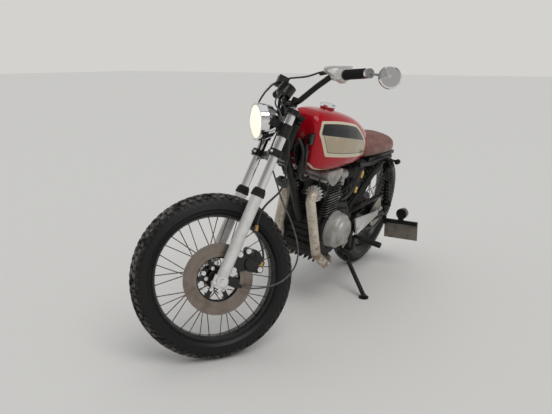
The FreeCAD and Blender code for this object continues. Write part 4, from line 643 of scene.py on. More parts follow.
# The welt is a narrow swelling with a shallow groove at each side of it.
welt_share, welt_width_share, welt_rise_share = 0.15, 0.022, 0.035
groove_width_share, groove_share = 0.05, 0.7
seat_bm = bmesh.new()
seat_lift = seat_bm.verts.layers.float.new("lift")
seat_rings = []
for share, inset in ring_shares(seat_end, margin=0.01, steps=130):
    width, low, high, squareness = smooth_between(seat_shares, min(share, 0.9999))
    low, high = max(low, 0), min(high, 1)
    x = seat_front - seat_length * share
    ring = rounded_ring(seat_bm, seat_lift, x, seat_half_width * min(width, 1),
                        seat_foot + seat_thickness * low, seat_foot + seat_thickness * high,
                        seat_waist_share, squareness, foot_squareness=2.5, inset=inset)
    waist = seat_foot + seat_thickness * (seat_waist_share * high + (1 - seat_waist_share) * low)
    valley = (1 - abs(math.sin(math.pi * x / rib_pitch))) ** rib_roundness
    for corner in ring:
        above = (corner.co.z - waist) / seat_thickness
        if rib_start_share < share < rib_end_share:
            on_top = min(max((above - rib_foot_share) / rib_fade_share, 0), 1)
            corner.co.z -= rib_depth * valley * on_top
        from_welt = (above - welt_share) ** 2
        welt = (math.exp(-from_welt / welt_width_share ** 2)
                - groove_share * math.exp(-from_welt / groove_width_share ** 2))
        corner.co.y *= 1 + welt_rise_share * welt
    seat_rings.append(ring)
skinned(seat_rings, seat_bm)
leather, leather_tree, leather_shader = plain_material("seat_leather", (0.2, 0.075, 0.055), roughness=0.48,
                                                       Sheen_Weight=0.15)
leather_place = local_place(leather_tree, machine)
creases, crease_height = mottled(leather_tree, leather_place, scale=26, low=0.35, high=0.7)
pores = node_of(leather_tree, "TexVoronoi", Vector=leather_place, Scale=520.0).outputs["Distance"]
connect(leather_tree, mix_of(leather_tree, creases, (0.21, 0.08, 0.06), (0.13, 0.045, 0.035)),
        leather_shader.inputs["Base Color"])
connect(leather_tree, scaled(leather_tree, creases, share=0.15, rest=0.4), leather_shader.inputs["Roughness"])
bumped(leather_tree, leather_shader, math_of(leather_tree, "ADD", pores, crease_height), strength=0.4,
       distance=0.0008)
seat_piece = finished("seat_cover", seat_bm, machine, "chassis", leather, sharp_angle=1.2)
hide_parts("seat")

# Headlight. A chromed steel shell closed by a domed glass in its rim. The lamp is lit, and the glass
# itself gives the warm white light, because the shell is closed.
lamp_glass, _, lamp_shader = plain_material("lit_glass", (0.95, 0.9, 0.78), roughness=0.12, Coat_Weight=1.0)
lamp_shader.inputs["Emission Color"].default_value = (1, 0.88, 0.62, 1)
lamp_shader.inputs["Emission Strength"].default_value = 0.75
dress(lamp_glass, "headlight_lens")

# Exhaust. Steel header pipes painted with heat paint that has burned to cream, with brown stains in patches
# made heavier from the bends down as painted shade, and a plain steel silencer.
stain_and_shade_full_height, stain_and_shade_end_height = 0.25, 0.48
heat_paint, heat_tree, heat_shader = plain_material("burned_header", (0.55, 0.47, 0.36), roughness=0.5,
                                                    metallic=0.25)
heat_place = local_place(heat_tree, machine)
_, _, heat_height = axes_of(heat_tree, heat_place)
brown, brown_grain = mottled(heat_tree, heat_place, scale=30, low=0.42, high=0.62)
speckle, speckle_grain = mottled(heat_tree, heat_place, scale=110, low=0.5, high=0.66)
# Brown stain patches everywhere, with painted shade that makes them heavier towards the bottom of the pipes.
lower_shade_share = math_of(heat_tree, "SUBTRACT", 1.0,
                ramp_of(heat_tree, heat_height, stain_and_shade_full_height, stain_and_shade_end_height))
stain_and_shade = math_of(heat_tree, "MULTIPLY", brown, scaled(heat_tree, lower_shade_share, share=0.65, rest=0.2))
clean = mix_of(heat_tree, speckle, (0.66, 0.6, 0.5), (0.42, 0.31, 0.2))
connect(heat_tree, mix_of(heat_tree, stain_and_shade, clean, (0.17, 0.085, 0.045)), heat_shader.inputs["Base Color"])
connect(heat_tree, scaled(heat_tree, speckle, share=0.3, rest=0.34), heat_shader.inputs["Roughness"])
bumped(heat_tree, heat_shader, math_of(heat_tree, "ADD", brown_grain, speckle_grain), strength=0.35,
       distance=0.0008)
dress(heat_paint, "exhaust_pipes")
dress(worn_finish("silencer_steel", (0.4, 0.38, 0.35), (0.2, 0.15, 0.11), roughness=0.3, metallic=0.85),
      "silencer")

# Number plate and tail lamp. A bare steel plate, dull and blank, bolted to its bracket, and above it
# a small round lamp with a red lens pressed into a black body.
dress(worn_finish("bare_plate", (0.24, 0.215, 0.18), (0.13, 0.11, 0.085), roughness=0.5, metallic=0.6,
                  scale=24, share=0.7),
      "licence_plate")
lens_rear, body_front = -0.0235, -0.0225
lamp_red, lamp_tree, tail_shader = plain_material("lamp_red", (0.2, 0.006, 0.008), roughness=0.16,
                                                  Coat_Weight=0.4)
tail_place = local_place(lamp_tree, machine)
lamp_forward, _, _ = axes_of(lamp_tree, tail_place)
lamp_cloud, _ = mottled(lamp_tree, tail_place, scale=60, low=0.4, high=0.7)
tail_lens = mix_of(lamp_tree, lamp_cloud, (0.24, 0.006, 0.008), (0.15, 0.006, 0.008))
connect(lamp_tree, mix_of(lamp_tree, ramp_of(lamp_tree, lamp_forward, lens_rear, body_front), tail_lens,
                          (0.008, 0.008, 0.008)), tail_shader.inputs["Base Color"])
dress(lamp_red, "tail_lamp")

# Crankcase. The cast cases of an air-cooled parallel twin, split level with the crank and painted
# black, with a cover bolted to each side, ribs under the sump and up the front, and a drain plug.


def add_rod(bm, start, end, radius, end_radius=None, steps=24):
    """A round bar from one place to another, tapered where a second radius is given."""
    start, end = Vector(start), Vector(end)
    lead = end - start
    place = Matrix.Translation((start + end) / 2) @ lead.to_track_quat("Z", "Y").to_matrix().to_4x4()
    bmesh.ops.create_cone(bm, cap_ends=True, segments=steps, radius1=radius,
                          radius2=radius if end_radius is None else end_radius, depth=lead.length,
                          matrix=place)


def soften(bm, corners, width, steps=2):
    """Bevels the sharp edges between the given corners."""
    inside = set(corners)
    edges = [edge for corner in corners for edge in corner.link_edges
             if edge.verts[0] is corner and edge.verts[1] in inside and edge.calc_face_angle(0) > 0.5]
    bmesh.ops.bevel(bm, geom=edges, offset=width, segments=steps, profile=0.5, affect="EDGES", material=-1)


def add_block(bm, centre, size, edge=0.0, place=Matrix()):
    """A block with softened edges."""
    made = bmesh.ops.create_cube(bm, size=1, matrix=place @ Matrix.Translation(centre)
                                 @ Matrix.Diagonal((*size, 1)))["verts"]
    if edge:
        soften(bm, made, edge)


def add_plate(bm, outline, back, front, edge=0.0, steps=2):
    """An outline of (forward, up) given a width across the machine, with softened edges."""
    corners = [bm.verts.new((x, back, z)) for x, z in outline]
    face = bm.faces.new(corners)
    grown = bmesh.ops.extrude_face_region(bm, geom=[face])["geom"]
    far = [part for part in grown if isinstance(part, bmesh.types.BMVert)]
    bmesh.ops.translate(bm, vec=(0, front - back, 0), verts=far)
    bmesh.ops.recalc_face_normals(bm, faces=list({face for corner in corners + far
                                                  for face in corner.link_faces}))
    if edge:
        soften(bm, corners + far, edge, steps)


def add_bolt(bm, place, lead, radius, depth):
    """A hexagon bolt head standing on its washer."""
    lead = Vector(lead).normalized()
    place = Vector(place)
    add_rod(bm, place, place + lead * depth * 0.25, radius * 1.35, steps=16)
    add_rod(bm, place, place + lead * depth, radius, radius * 0.94, steps=6)


case_half_width, cover_back, cover_face = 0.084, 0.08, 0.107
case_outline = ((0.428, 0.36), (0.45, 0.44), (0.5, 0.492), (0.6, 0.508), (0.66, 0.508), (0.786, 0.505),
                (0.79, 0.43), (0.785, 0.33), (0.755, 0.262), (0.7, 0.238), (0.56, 0.238), (0.46, 0.262))
side_outline = ((0.44, 0.36), (0.462, 0.425), (0.52, 0.468), (0.6, 0.482), (0.68, 0.496), (0.745, 0.485),
                (0.775, 0.43), (0.772, 0.35), (0.735, 0.305), (0.67, 0.29), (0.56, 0.282), (0.475, 0.3))
side_bolts = ((0.466, 0.338), (0.5, 0.445), (0.6, 0.468), (0.742, 0.462), (0.755, 0.36), (0.68, 0.306),
              (0.56, 0.298))
sump_rib_count, sump_rib_pitch, sump_rib_size = 7, 0.024, (0.2, 0.0035, 0.018)
front_rib_count, front_rib_pitch, front_rib_size = 5, 0.03, (0.008, 0.12, 0.0035)
plug_forward, plug_left = 0.7, -0.02
case_bm = bmesh.new()
add_plate(case_bm, case_outline, -case_half_width, case_half_width, edge=0.007)
for side in (-1, 1):
    add_plate(case_bm, side_outline, cover_back * side, cover_face * side, edge=0.006)
    for x, z in side_bolts:
        add_bolt(case_bm, (x, (cover_face - 0.0005) * side, z), (0, side, 0), radius=0.0055, depth=0.006)
for step in range(sump_rib_count):
    add_block(case_bm, (0.63, -0.072 + sump_rib_pitch * step, 0.2385), sump_rib_size, edge=0.001)
for step in range(front_rib_count):
    add_block(case_bm, (0.7905, 0, 0.3 + front_rib_pitch * step), front_rib_size, edge=0.001)
add_rod(case_bm, (plug_forward, plug_left, 0.245), (plug_forward, plug_left, 0.2285), radius=0.014, steps=6)
case_piece = finished("crankcase_castings", case_bm, machine, "chassis", engine_paint)
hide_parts("crankcase")

# Cylinder barrels. One cast block of two barrels with nine square fins, clamped between the head and
# the cases by long studs. The paint has worn off the fins' outer edges.
barrel_forward, barrel_left, barrel_foot, barrel_top, barrel_radius = 0.7145, 0.048, 0.478, 0.589, 0.05
fin_count, fin_foot, fin_pitch, fin_size, fin_corner = 9, 0.482, 0.0126, (0.162, 0.211, 0.0032), 0.03
stud_left, stud_radius = 0.082, 0.0065
barrel_bm = bmesh.new()
for step in range(fin_count):
    centre = (barrel_forward, 0, fin_foot + fin_pitch * step)
    made = bmesh.ops.create_cube(barrel_bm, size=1, matrix=Matrix.Translation(centre)
                                 @ Matrix.Diagonal((*fin_size, 1)))["verts"]
    corner_edges = [edge for edge in {edge for corner in made for edge in corner.link_edges}
                    if abs((edge.verts[0].co - edge.verts[1].co).z) > 0.003]
    corner_edges.sort(key=lambda edge: (round(edge.verts[0].co.x, 4), round(edge.verts[0].co.y, 4)))
    bmesh.ops.bevel(barrel_bm, geom=corner_edges, offset=fin_corner, segments=5, profile=0.5,
                    affect="EDGES", material=-1)
for side in (-1, 1):
    foot = Vector((barrel_forward, barrel_left * side, barrel_foot))
    add_rod(barrel_bm, foot, (barrel_forward, barrel_left * side, barrel_top), barrel_radius, steps=32)
    add_rod(barrel_bm, foot, foot + Vector((0, 0, 0.0065)), barrel_radius + 0.006, steps=32)
    for x in (0.655, 0.775):
        add_rod(barrel_bm, (x, stud_left * side, barrel_foot - 0.001), (x, stud_left * side, barrel_top),
                stud_radius, steps=12)
add_block(barrel_bm, (barrel_forward, 0, (barrel_foot + barrel_top) / 2),
          (0.07, 0.1, barrel_top - barrel_foot))
fin_paint, fin_tree, fin_shader = plain_material("finned_black", (0.009, 0.009, 0.009), roughness=0.36,
                                                 Specular_IOR_Level=0.35)
fin_place = local_place(fin_tree, machine)
fin_wear, fin_grain = mottled(fin_tree, fin_place, scale=34, low=0.4, high=0.7)
_, fin_across, _ = axes_of(fin_tree, fin_place)
fin_edge = ramp_of(fin_tree, math_of(fin_tree, "ABSOLUTE", fin_across), 0.1035, 0.1052)
bare = math_of(fin_tree, "MULTIPLY", fin_edge, scaled(fin_tree, fin_wear, share=0.5, rest=0.25))
fin_black = mix_of(fin_tree, fin_wear, (0.008, 0.008, 0.008), (0.035, 0.03, 0.026))
connect(fin_tree, mix_of(fin_tree, bare, fin_black, (0.4, 0.38, 0.35)), fin_shader.inputs["Base Color"])
connect(fin_tree, math_of(fin_tree, "MULTIPLY", bare, 0.7), fin_shader.inputs["Metallic"])
bumped(fin_tree, fin_shader, fin_grain, strength=0.3, distance=0.0006)
barrel_piece = finished("finned_barrels", barrel_bm, machine, "chassis", fin_paint)
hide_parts("cylinder_barrels")

# Cylinder head. A cast block with level fins and, at the front, upright ribs beside its two exhaust
# ports, painted gloss black, with two intake stubs behind.
head_fin_count, head_fin_foot, head_fin_pitch, head_fin_gauge = 6, 0.5585, 0.0125, 0.003
head_rear, head_front, head_half_width = 0.65, 0.812, 0.105
upright_count, upright_left, upright_pitch, upright_half_gauge = 6, 0.054, 0.0088, 0.0012
upright_reach, upright_fall = 0.822, 0.00064
port_left, port_height, intake_left = 0.061, 0.591, 0.045
head_bm = bmesh.new()
add_block(head_bm, (0.734, 0, 0.604), (0.15, 0.18, 0.094), edge=0.006)
for step in range(head_fin_count):
    low = head_fin_foot + head_fin_pitch * step
    high = low + head_fin_gauge
    add_plate(head_bm, ((head_rear, low), (head_front, low), (head_front, high), (head_rear, high)),
              -head_half_width, head_half_width, edge=0.001, steps=1)
for side in (-1, 1):
    for step in range(upright_count):
        place = side * (upright_left + upright_pitch * step)
        reach = upright_reach - upright_fall * step ** 2
        upright = ((0.79, 0.6), (reach - 0.006, 0.598), (reach, 0.612), (reach, 0.65),
                   (reach - 0.012, 0.658), (0.79, 0.658))
        add_plate(head_bm, upright, place - upright_half_gauge, place + upright_half_gauge, edge=0.0006,
                  steps=1)
    add_rod(head_bm, (0.8, port_left * side, port_height), (0.8225, port_left * side, port_height),
            radius=0.04, steps=32)
    add_rod(head_bm, (0.66, intake_left * side, 0.628), (0.6455, intake_left * side, 0.63), radius=0.026)
head_piece = finished("finned_head", head_bm, machine, "chassis", gloss_black)
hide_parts("cylinder_head")

# Head cover. Two cast aluminium halves over the camshaft's ends, joined by a spine, each with a round
# cap at its side and small bolts round its edge.
cover_inside, cover_outside, cam_forward, cam_height = 0.066, 0.103, 0.748, 0.664
half_outline = ((0.674, 0.69), (0.686, 0.697), (0.812, 0.697), (0.823, 0.688), (0.822, 0.668), (0.798, 0.645),
                (0.765, 0.624), (0.742, 0.621), (0.72, 0.63), (0.7, 0.648), (0.678, 0.66))
spine_outline = ((0.69, 0.66), (0.69, 0.682), (0.705, 0.69), (0.8, 0.688), (0.812, 0.676), (0.812, 0.66))
cover_bm = bmesh.new()
for side in (-1, 1):
    add_plate(cover_bm, half_outline, cover_inside * side, cover_outside * side, edge=0.005, steps=3)
    add_rod(cover_bm, (cam_forward, 0.1 * side, cam_height), (cam_forward, 0.1039 * side, cam_height),
            radius=0.02, end_radius=0.018, steps=28)
    for x, z in ((0.69, 0.683), (0.81, 0.683), (cam_forward, 0.632)):
        add_bolt(cover_bm, (x, (cover_outside - 0.0005) * side, z), (0, side, 0), radius=0.0042, depth=0.0014)
    for x in (0.7, 0.8):
        add_bolt(cover_bm, (x, 0.078 * side, 0.6965), (0, 0, 1), radius=0.006, depth=0.0022)
add_plate(cover_bm, spine_outline, -0.07, 0.07, edge=0.003)
add_block(cover_bm, (0.757, 0, 0.6515), (0.134, 0.19, 0.012), edge=0.003)
cover_piece = finished("head_cover_castings", cover_bm, machine, "chassis", cast_metal)
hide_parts("head_cover")

# Generator cover. A domed aluminium casting on the left end of the crank, with a raised face and a
# stepped flange, held down by three screws through lugs.
cover_outline = ((0, 0.079), (0.03, 0.0785), (0.05, 0.076), (0.06, 0.071), (0.0635, 0.066), (0.065, 0.06),
                 (0.0665, 0.0575), (0.073, 0.0555), (0.0795, 0.049), (0.082, 0.038), (0.0825, 0.014),
                 (0.0865, 0.012), (0.0868, 0.0005), (0, 0.0005))
generator_centre = (0.68, 0.1085, 0.405)
lug_count, first_lug, lug_turn, lug_circle, lug_foot, lug_top = 3, 0.7, 2.1, 0.0805, 0.001, 0.03
generator_bm = turned(cover_outline, steps=72)
for step in range(lug_count):
    turn = first_lug + lug_turn * step
    lug = Vector((math.cos(turn), math.sin(turn), 0)) * lug_circle
    top = Vector((0, 0, lug_top))
    add_rod(generator_bm, lug + Vector((0, 0, lug_foot)), lug + top, radius=0.0062, end_radius=0.0055,
            steps=16)
    add_bolt(generator_bm, lug * 0.985 + top, (0, 0, 1), radius=0.0036, depth=0.004)
generator_piece = finished("generator_cover", generator_bm,
                           machine @ Matrix.Translation(generator_centre) @ axle_turn, "chassis",
                           cast_metal)
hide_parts("alternator_cover")

# Header collars. Cast aluminium rings with fourteen short fins, which clamp the header pipes into the
# head's two exhaust ports.
port_forward, collar_length, collar_radius = 0.824, 0.028, 0.0272
collar_fin_count, collar_fin_size, collar_fin_edge = 14, (0.031, 0.0062, 0.0118), 0.0024
collar_bm = bmesh.new()
for side in (-1, 1):
    centre = Vector((port_forward, port_left * side, port_height))
    add_rod(collar_bm, centre, centre + Vector((collar_length, 0, 0)), collar_radius, end_radius=0.0252,
            steps=40)
    for step in range(collar_fin_count):
        fin_turn = Matrix.Rotation(2 * math.pi * step / collar_fin_count, 4, "X")
        add_block(collar_bm, (0.0165, 0, 0.031), collar_fin_size, collar_fin_edge,
                  Matrix.Translation(centre) @ fin_turn)
collar_piece = finished("star_collars", collar_bm, machine, "chassis", bright_cast)
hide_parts("exhaust_collars")

# Front brake calliper. A black cast body with a round cylinder at its outer side, two guide pins with
# bright bolts, and a forged bracket held to the lugs of the left slider.
cylinder_forward, cylinder_up, cylinder_inside, cylinder_outside = -0.03, 0.1, 0.068, 0.094
bridge_outline = ((-0.088, 0.096), (-0.074, 0.076), (-0.03, 0.07), (0.004, 0.086), (0.012, 0.14),
                  (-0.002, 0.154), (-0.03, 0.138), (-0.066, 0.118))
jaw_outline = ((-0.085, 0.102), (-0.06, 0.112), (-0.036, 0.136), (-0.03, 0.158), (-0.05, 0.156),
               (-0.088, 0.124))
bracket_outline = ((0.014, 0.13), (0.034, 0.126), (0.034, 0.05), (0.018, 0.046), (-0.02, 0.068),
                   (-0.03, 0.1))
guide_pins = ((-0.002, 0.142), (-0.073, 0.094))
calliper_bm = bmesh.new()
for back, front, radius in ((cylinder_inside, cylinder_outside, 0.032), (cylinder_outside, 0.098, 0.025)):
    add_rod(calliper_bm, (cylinder_forward, back, cylinder_up), (cylinder_forward, front, cylinder_up),
            radius, radius - 0.002, steps=40)
add_plate(calliper_bm, bridge_outline, 0.069, 0.085, edge=0.004)
add_plate(calliper_bm, jaw_outline, 0.034, 0.082, edge=0.004)
for x, z in guide_pins:
    add_rod(calliper_bm, (x, 0.066, z), (x, 0.094, z), radius=0.0145, end_radius=0.0135)
add_plate(calliper_bm, bracket_outline, 0.086, 0.094, edge=0.002)
calliper_piece = finished("calliper_castings", calliper_bm, fork, "steering", gloss_black)
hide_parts("brake_calliper")

# Bright bolts hold the calliper's guide pins, its bracket and the plate over the wheel's hub.
slider_forward, bracket_bolt_forward = 0.0555, 0.0255
hub_cap_bolt_count, hub_cap_circle = 6, 0.062
bolt_bm = bmesh.new()
for x, z in guide_pins:
    add_bolt(bolt_bm, (x, 0.0935, z), (0, 1, 0), radius=0.0075, depth=0.0042)
for z in (0.118, 0.055):
    add_rod(bolt_bm, (bracket_bolt_forward, 0.092, z), (bracket_bolt_forward, 0.1, z), radius=0.0115,
            end_radius=0.0105)
    add_bolt(bolt_bm, (bracket_bolt_forward, 0.0995, z), (0, 1, 0), radius=0.006, depth=0.005)
for step in range(hub_cap_bolt_count):
    turn = 2 * math.pi * step / hub_cap_bolt_count
    place = (slider_forward + hub_cap_circle * math.cos(turn), 0.0588, hub_cap_circle * math.sin(turn))
    add_bolt(bolt_bm, place, (0, 1, 0), radius=0.0065, depth=0.006)
finished("brake_bolts", bolt_bm, fork, "steering", chrome)

# Shock springs. Round steel wire wound nine times round each damper and painted black, seated on the
# collars at both ends of the damper.
spring_foot, spring_top = Vector((0.052, 0.136, 0.372)), Vector((0.196, 0.136, 0.672))
spring_run = (spring_top - spring_foot).length
spring_turns, spring_wire, spring_radius, spring_steps = 9, 0.0036, 0.0242, 20
wire_rise = 0.0045
coil_foot_share, coil_height_share, coil_clearance = 0.16, 0.68, 0.012
coil_height = spring_run * coil_height_share - coil_clearance
spring_bm = bmesh.new()
for side in (-1, 1):
    before = set(spring_bm.verts)
    wire_place = Matrix.Translation((spring_radius, 0, wire_rise)) @ Matrix.Rotation(math.pi / 2, 4, "X")
    made = bmesh.ops.create_circle(spring_bm, cap_ends=True, segments=10, radius=spring_wire,
                                   matrix=wire_place)["verts"]
    geometry = (made + list({edge for corner in made for edge in corner.link_edges})
                + list({face for corner in made for face in corner.link_faces}))
    bmesh.ops.spin(spring_bm, geom=geometry, cent=(0, 0, 0), axis=(0, 0, 1),
                   dvec=(0, 0, coil_height / (spring_turns * spring_steps)),
                   angle=2 * math.pi * spring_turns, steps=spring_turns * spring_steps)
    foot, top = (Vector((end.x, end.y * side, end.z)) for end in (spring_foot, spring_top))
    lead = (top - foot).normalized()
    stand = (Matrix.Translation(foot + lead * (spring_run * coil_foot_share + 0.001))
             @ lead.to_track_quat("Z", "Y").to_matrix().to_4x4())
    bmesh.ops.transform(spring_bm, matrix=stand,
                        verts=[corner for corner in spring_bm.verts if corner not in before])
spring_piece = finished("coil_springs", spring_bm, machine, "chassis", gloss_black)
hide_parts("shock_springs")

# Cables. A brake hose from the calliper to the lever, a speedometer cable from its drive at the
# hub, and the clutch cable, which arches forward from its lever and down to the lower clamp.


def held_cable(name, route, radius, body, material):
    """A cable along one smooth spline through a route's control points, in the fork's millimetres."""
    curve = bpy.data.curves.new(name, "CURVE")
    curve.dimensions = "3D"
    curve.bevel_depth = radius
    curve.bevel_resolution = 4
    curve.resolution_u = 8
    curve.use_fill_caps = True
    spline = curve.splines.new("NURBS")
    spline.points.add(len(route) - 1)
    for point, place in zip(spline.points, route):
        point.co = (*(fork @ (Vector(place) / 1000)), 1)
    spline.order_u = 3
    spline.use_endpoint_u = True
    piece = bpy.data.objects.new(name, curve)
    stage.collection.objects.link(piece)
    curve.materials.append(material)
    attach(piece, body)


brake_route = (
    (-73, 80, 104), (-76, 80, 122), (-70, 79, 150), (-44, 79, 184), (-14, 78, 211), (4, 75, 247),
    (8, 71, 286), (2, 68, 325), (-14, 69, 361), (-32, 68, 396), (-38, 64, 434), (-30, 61, 472),
    (-14, 60, 508),
    (-8, 60, 546), (4, 60, 582), (24, 60, 612), (46, 60, 640), (62, 56, 672), (72, 46, 704), (73, 16, 722),
    (72, -20, 731), (71, -56, 746), (70, -92, 764), (67, -126, 784), (64, -156, 806), (61, -182, 830),
    (56, -208, 849), (45, -236.5, 854))
speedometer_route = (
    (-8.3, 94, 6), (-46, 95, 8), (-88, 96, 22), (-130, 96, 44), (-168, 96, 74), (-194, 95, 113),
    (-206, 94, 159), (-198, 92, 206), (-175, 90, 247), (-143, 86, 287), (-107, 82, 324), (-70, 76, 356),
    (-38, 70, 388), (-12, 66, 422), (14, 63, 450), (40, 60, 478), (60, 54, 510), (64, 46, 546),
    (63, 40, 584), (62, 38, 622), (64, 38, 656), (80, 26, 690), (104, 10, 706), (111.8, 0, 729.6),
    (105.9, 0, 754.6))
clutch_route = (
    (45, 246.5, 854), (58, 200, 850), (65, 164, 840), (74, 128, 832), (88, 94, 826), (106, 64, 818),
    (124, 36, 806), (140, 10, 788), (152, -12, 760), (156, -34, 726), (153, -56, 690), (142, -76, 656),
    (122, -86, 626), (98, -87, 606), (78, -82, 586), (67, -76, 562), (67, -76, 530))
hose_rubber = worn_finish("hose_rubber", (0.014, 0.014, 0.015), (0.06, 0.055, 0.05), roughness=0.42,
                          metallic=0.0, scale=60)
cable_sheath = worn_finish("cable_sheath", (0.05, 0.05, 0.052), (0.16, 0.15, 0.14), roughness=0.38,
                           metallic=0.0, scale=60)
held_cable("brake_line", brake_route, radius=0.0042, body="steering", material=hose_rubber)
held_cable("speedometer_cable", speedometer_route, radius=0.0033, body="steering", material=cable_sheath)
held_cable("clutch_line", clutch_route, radius=0.0036, body="steering", material=hose_rubber)

# Small fittings of the front end: the speedometer's black drive box behind the left slider, and the
# brake hose's brass union at the calliper with the ferrules that hold the hose.
slider_left = 0.094
drive_bm = bmesh.new()
add_block(drive_bm, (0.008, slider_left, 0.012), (0.044, 0.022, 0.036), edge=0.004)
add_rod(drive_bm, (-0.012, slider_left, 0.006), (-0.03, slider_left + 0.0003, 0.007), radius=0.0075,
        end_radius=0.0055)
finished("speedometer_drive", drive_bm, fork, "steering", gloss_black)
union_place, union_end = Vector((-0.073, 0.074, 0.104)), Vector((-0.073, 0.088, 0.104))
union_bm = bmesh.new()
add_rod(union_bm, union_place, union_end, radius=0.0095)
add_bolt(union_bm, union_end, (0, 1, 0), radius=0.006, depth=0.005)
add_rod(union_bm, (-0.0745, 0.08, 0.108), (-0.0755, 0.08, 0.124), radius=0.0058)
add_rod(union_bm, (-0.003, 0.0765, 0.224), (0.003, 0.0755, 0.246), radius=0.0068)
finished("hose_union", union_bm, fork, "steering", brass)

# Disc carrier. A black cast spider: a ring that holds the disc's rivets, six short arms and a boss
# that is bolted to the hub, with open windows between the arms.
carrier_place = front_wheel @ Matrix.Translation((0, 0.0505, 0)) @ axle_turn
ring_outline = ((0.08, 0), (0.08, 0.006), (0.094, 0.006), (0.094, 0.0))
boss_radius, boss_depth = 0.037, 0.008
arm_count, arm_lead, arm_size, rivet_lead, rivet_circle = 6, 0.35, (0.05, 0.017, 0.006), 0.17, 0.0885
arm_turns = [Matrix.Rotation(2 * math.pi * step / arm_count + arm_lead, 4, "Z") for step in range(arm_count)]
spider_bm = turned(ring_outline, steps=72)
add_rod(spider_bm, (0, 0, 0), (0, 0, boss_depth), boss_radius, steps=40)
for arm_turn in arm_turns:
    add_block(spider_bm, (0.058, 0, 0.0035), arm_size, edge=0.0016, place=arm_turn)
    for lead in (-rivet_lead, rivet_lead):
        rivet = arm_turn @ Matrix.Rotation(lead, 4, "Z") @ Vector((rivet_circle, 0, 0.0055))
        add_rod(spider_bm, rivet, rivet + Vector((0, 0, 0.0025)), radius=0.0045, end_radius=0.0035, steps=12)
spider_piece = finished("disc_spider", spider_bm, carrier_place, "front_wheel", gloss_black)
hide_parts("disc_carrier")
hub_bolt_bm = bmesh.new()
for arm_turn in arm_turns:
    add_bolt(hub_bolt_bm, arm_turn @ Vector((0.046, 0, 0.0065)), (0, 0, 1), radius=0.0058, depth=0.0048)
finished("hub_bolts", hub_bolt_bm, carrier_place, "front_wheel", chrome)

# Fork ends. Ribbed rubber dust seals at the sliders' tops, and at their feet the clamps that hold the
# wheel's axle, each a cap pulled up by two studs, with the axle's plated nut at the left.
seal_up = 0.344
seal_outline = ((0.0186, 0.0005), (0.0255, 0.0005), (0.0275, 0.003), (0.0275, 0.009), (0.0255, 0.011),
                (0.0268, 0.0135), (0.0268, 0.017), (0.0245, 0.0185), (0.0255, 0.021), (0.0252, 0.0245),
                (0.0225, 0.026), (0.0222, 0.031), (0.0196, 0.0335), (0.0186, 0.0335))
seal_bm = bmesh.new()
for side in (-1, 1):
    seal = turned(seal_outline, steps=48)
    bmesh.ops.translate(seal, vec=(slider_forward, slider_left * side, seal_up), verts=seal.verts)
    add_shape(seal_bm, seal)
seal_piece = finished("dust_seals", seal_bm, fork, "steering", dull_rubber)
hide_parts("fork_seals")

clamp_inside, clamp_outside, clamp_radius = 0.0765, 0.1175, 0.0222
cap_studs_forward, stud_top, stud_foot = (0.033, 0.078), 0.016, -0.026
foot_bm = bmesh.new()
for side in (-1, 1):
    add_rod(foot_bm, (slider_forward, clamp_inside * side, 0), (slider_forward, clamp_outside * side, 0),
            clamp_radius, steps=40)
    for x in cap_studs_forward:
        add_rod(foot_bm, (x, slider_left * side, stud_top), (x, slider_left * side, stud_foot), radius=0.0078,
                steps=20)
    add_block(foot_bm, (slider_forward, 0.097 * side, -0.0165), (0.062, 0.03, 0.011), edge=0.003)
finished("axle_clamps", foot_bm, fork, "steering", bright_cast)

nut_face, clamp_face_forward, clamp_bolt_spread = 0.1172, 0.0775, 0.019
lower_clamp_up, tube_top = 0.523, 0.7065
stud_bm = bmesh.new()
for side in (-1, 1):
    for x in cap_studs_forward:
        add_bolt(stud_bm, (x, slider_left * side, stud_foot + 0.0005), (0, 0, -1), radius=0.0062,
                 depth=0.0085)
add_bolt(stud_bm, (slider_forward, nut_face, 0), (0, 1, 0), radius=0.0135, depth=0.0125)
add_rod(stud_bm, (slider_forward, nut_face, 0), (slider_forward, 0.1335, 0), radius=0.0068, steps=20)
for side in (-1, 1):
    for spread in (-clamp_bolt_spread, clamp_bolt_spread):
        add_bolt(stud_bm, (clamp_face_forward, (slider_left + spread) * side, lower_clamp_up), (1, 0, 0),
                 radius=0.0052, depth=0.006)
    add_bolt(stud_bm, (slider_forward, slider_left * side, tube_top), (0, 0, 1), radius=0.0125, depth=0.008)
finished("fork_bolts", stud_bm, fork, "steering", chrome)

# Steering head. Black gusset plates, the ignition coils and a relay beside each fill the gap between
# the fork and the tank, and the horn hangs in front of the downtube.
gusset_outline = ((1.052, 0.826), (1.03, 0.765), (0.975, 0.715), (0.965, 0.74), (0.967, 0.86))
gusset_inside, gusset_outside = 0.026, 0.03
coil_forward, coil_left, coil_foot, coil_top, coil_radius = 0.985, 0.045, 0.71, 0.81, 0.0185
head_fill_bm = bmesh.new()
for side in (-1, 1):
    add_plate(head_fill_bm, gusset_outline, gusset_inside * side, gusset_outside * side, edge=0.001, steps=1)
    foot, top = (Vector((coil_forward, coil_left * side, height)) for height in (coil_foot, coil_top))
    add_rod(head_fill_bm, foot, top, coil_radius, steps=28)
    add_rod(head_fill_bm, top, top + Vector((0, 0, 0.012)), radius=0.011, end_radius=0.008, steps=20)
    add_block(head_fill_bm, (0.982, 0.06 * side, 0.855), (0.034, 0.022, 0.044), edge=0.003)
add_block(head_fill_bm, (0.955, 0, 0.6885), (0.06, 0.07, 0.025), edge=0.003)
finished("coils_and_gussets", head_fill_bm, machine, "chassis", gloss_black)

horn_lead = Vector((0.766, 0, -0.643))
horn_root = Vector((1.008, 0, 0.687)) + horn_lead * 0.0187
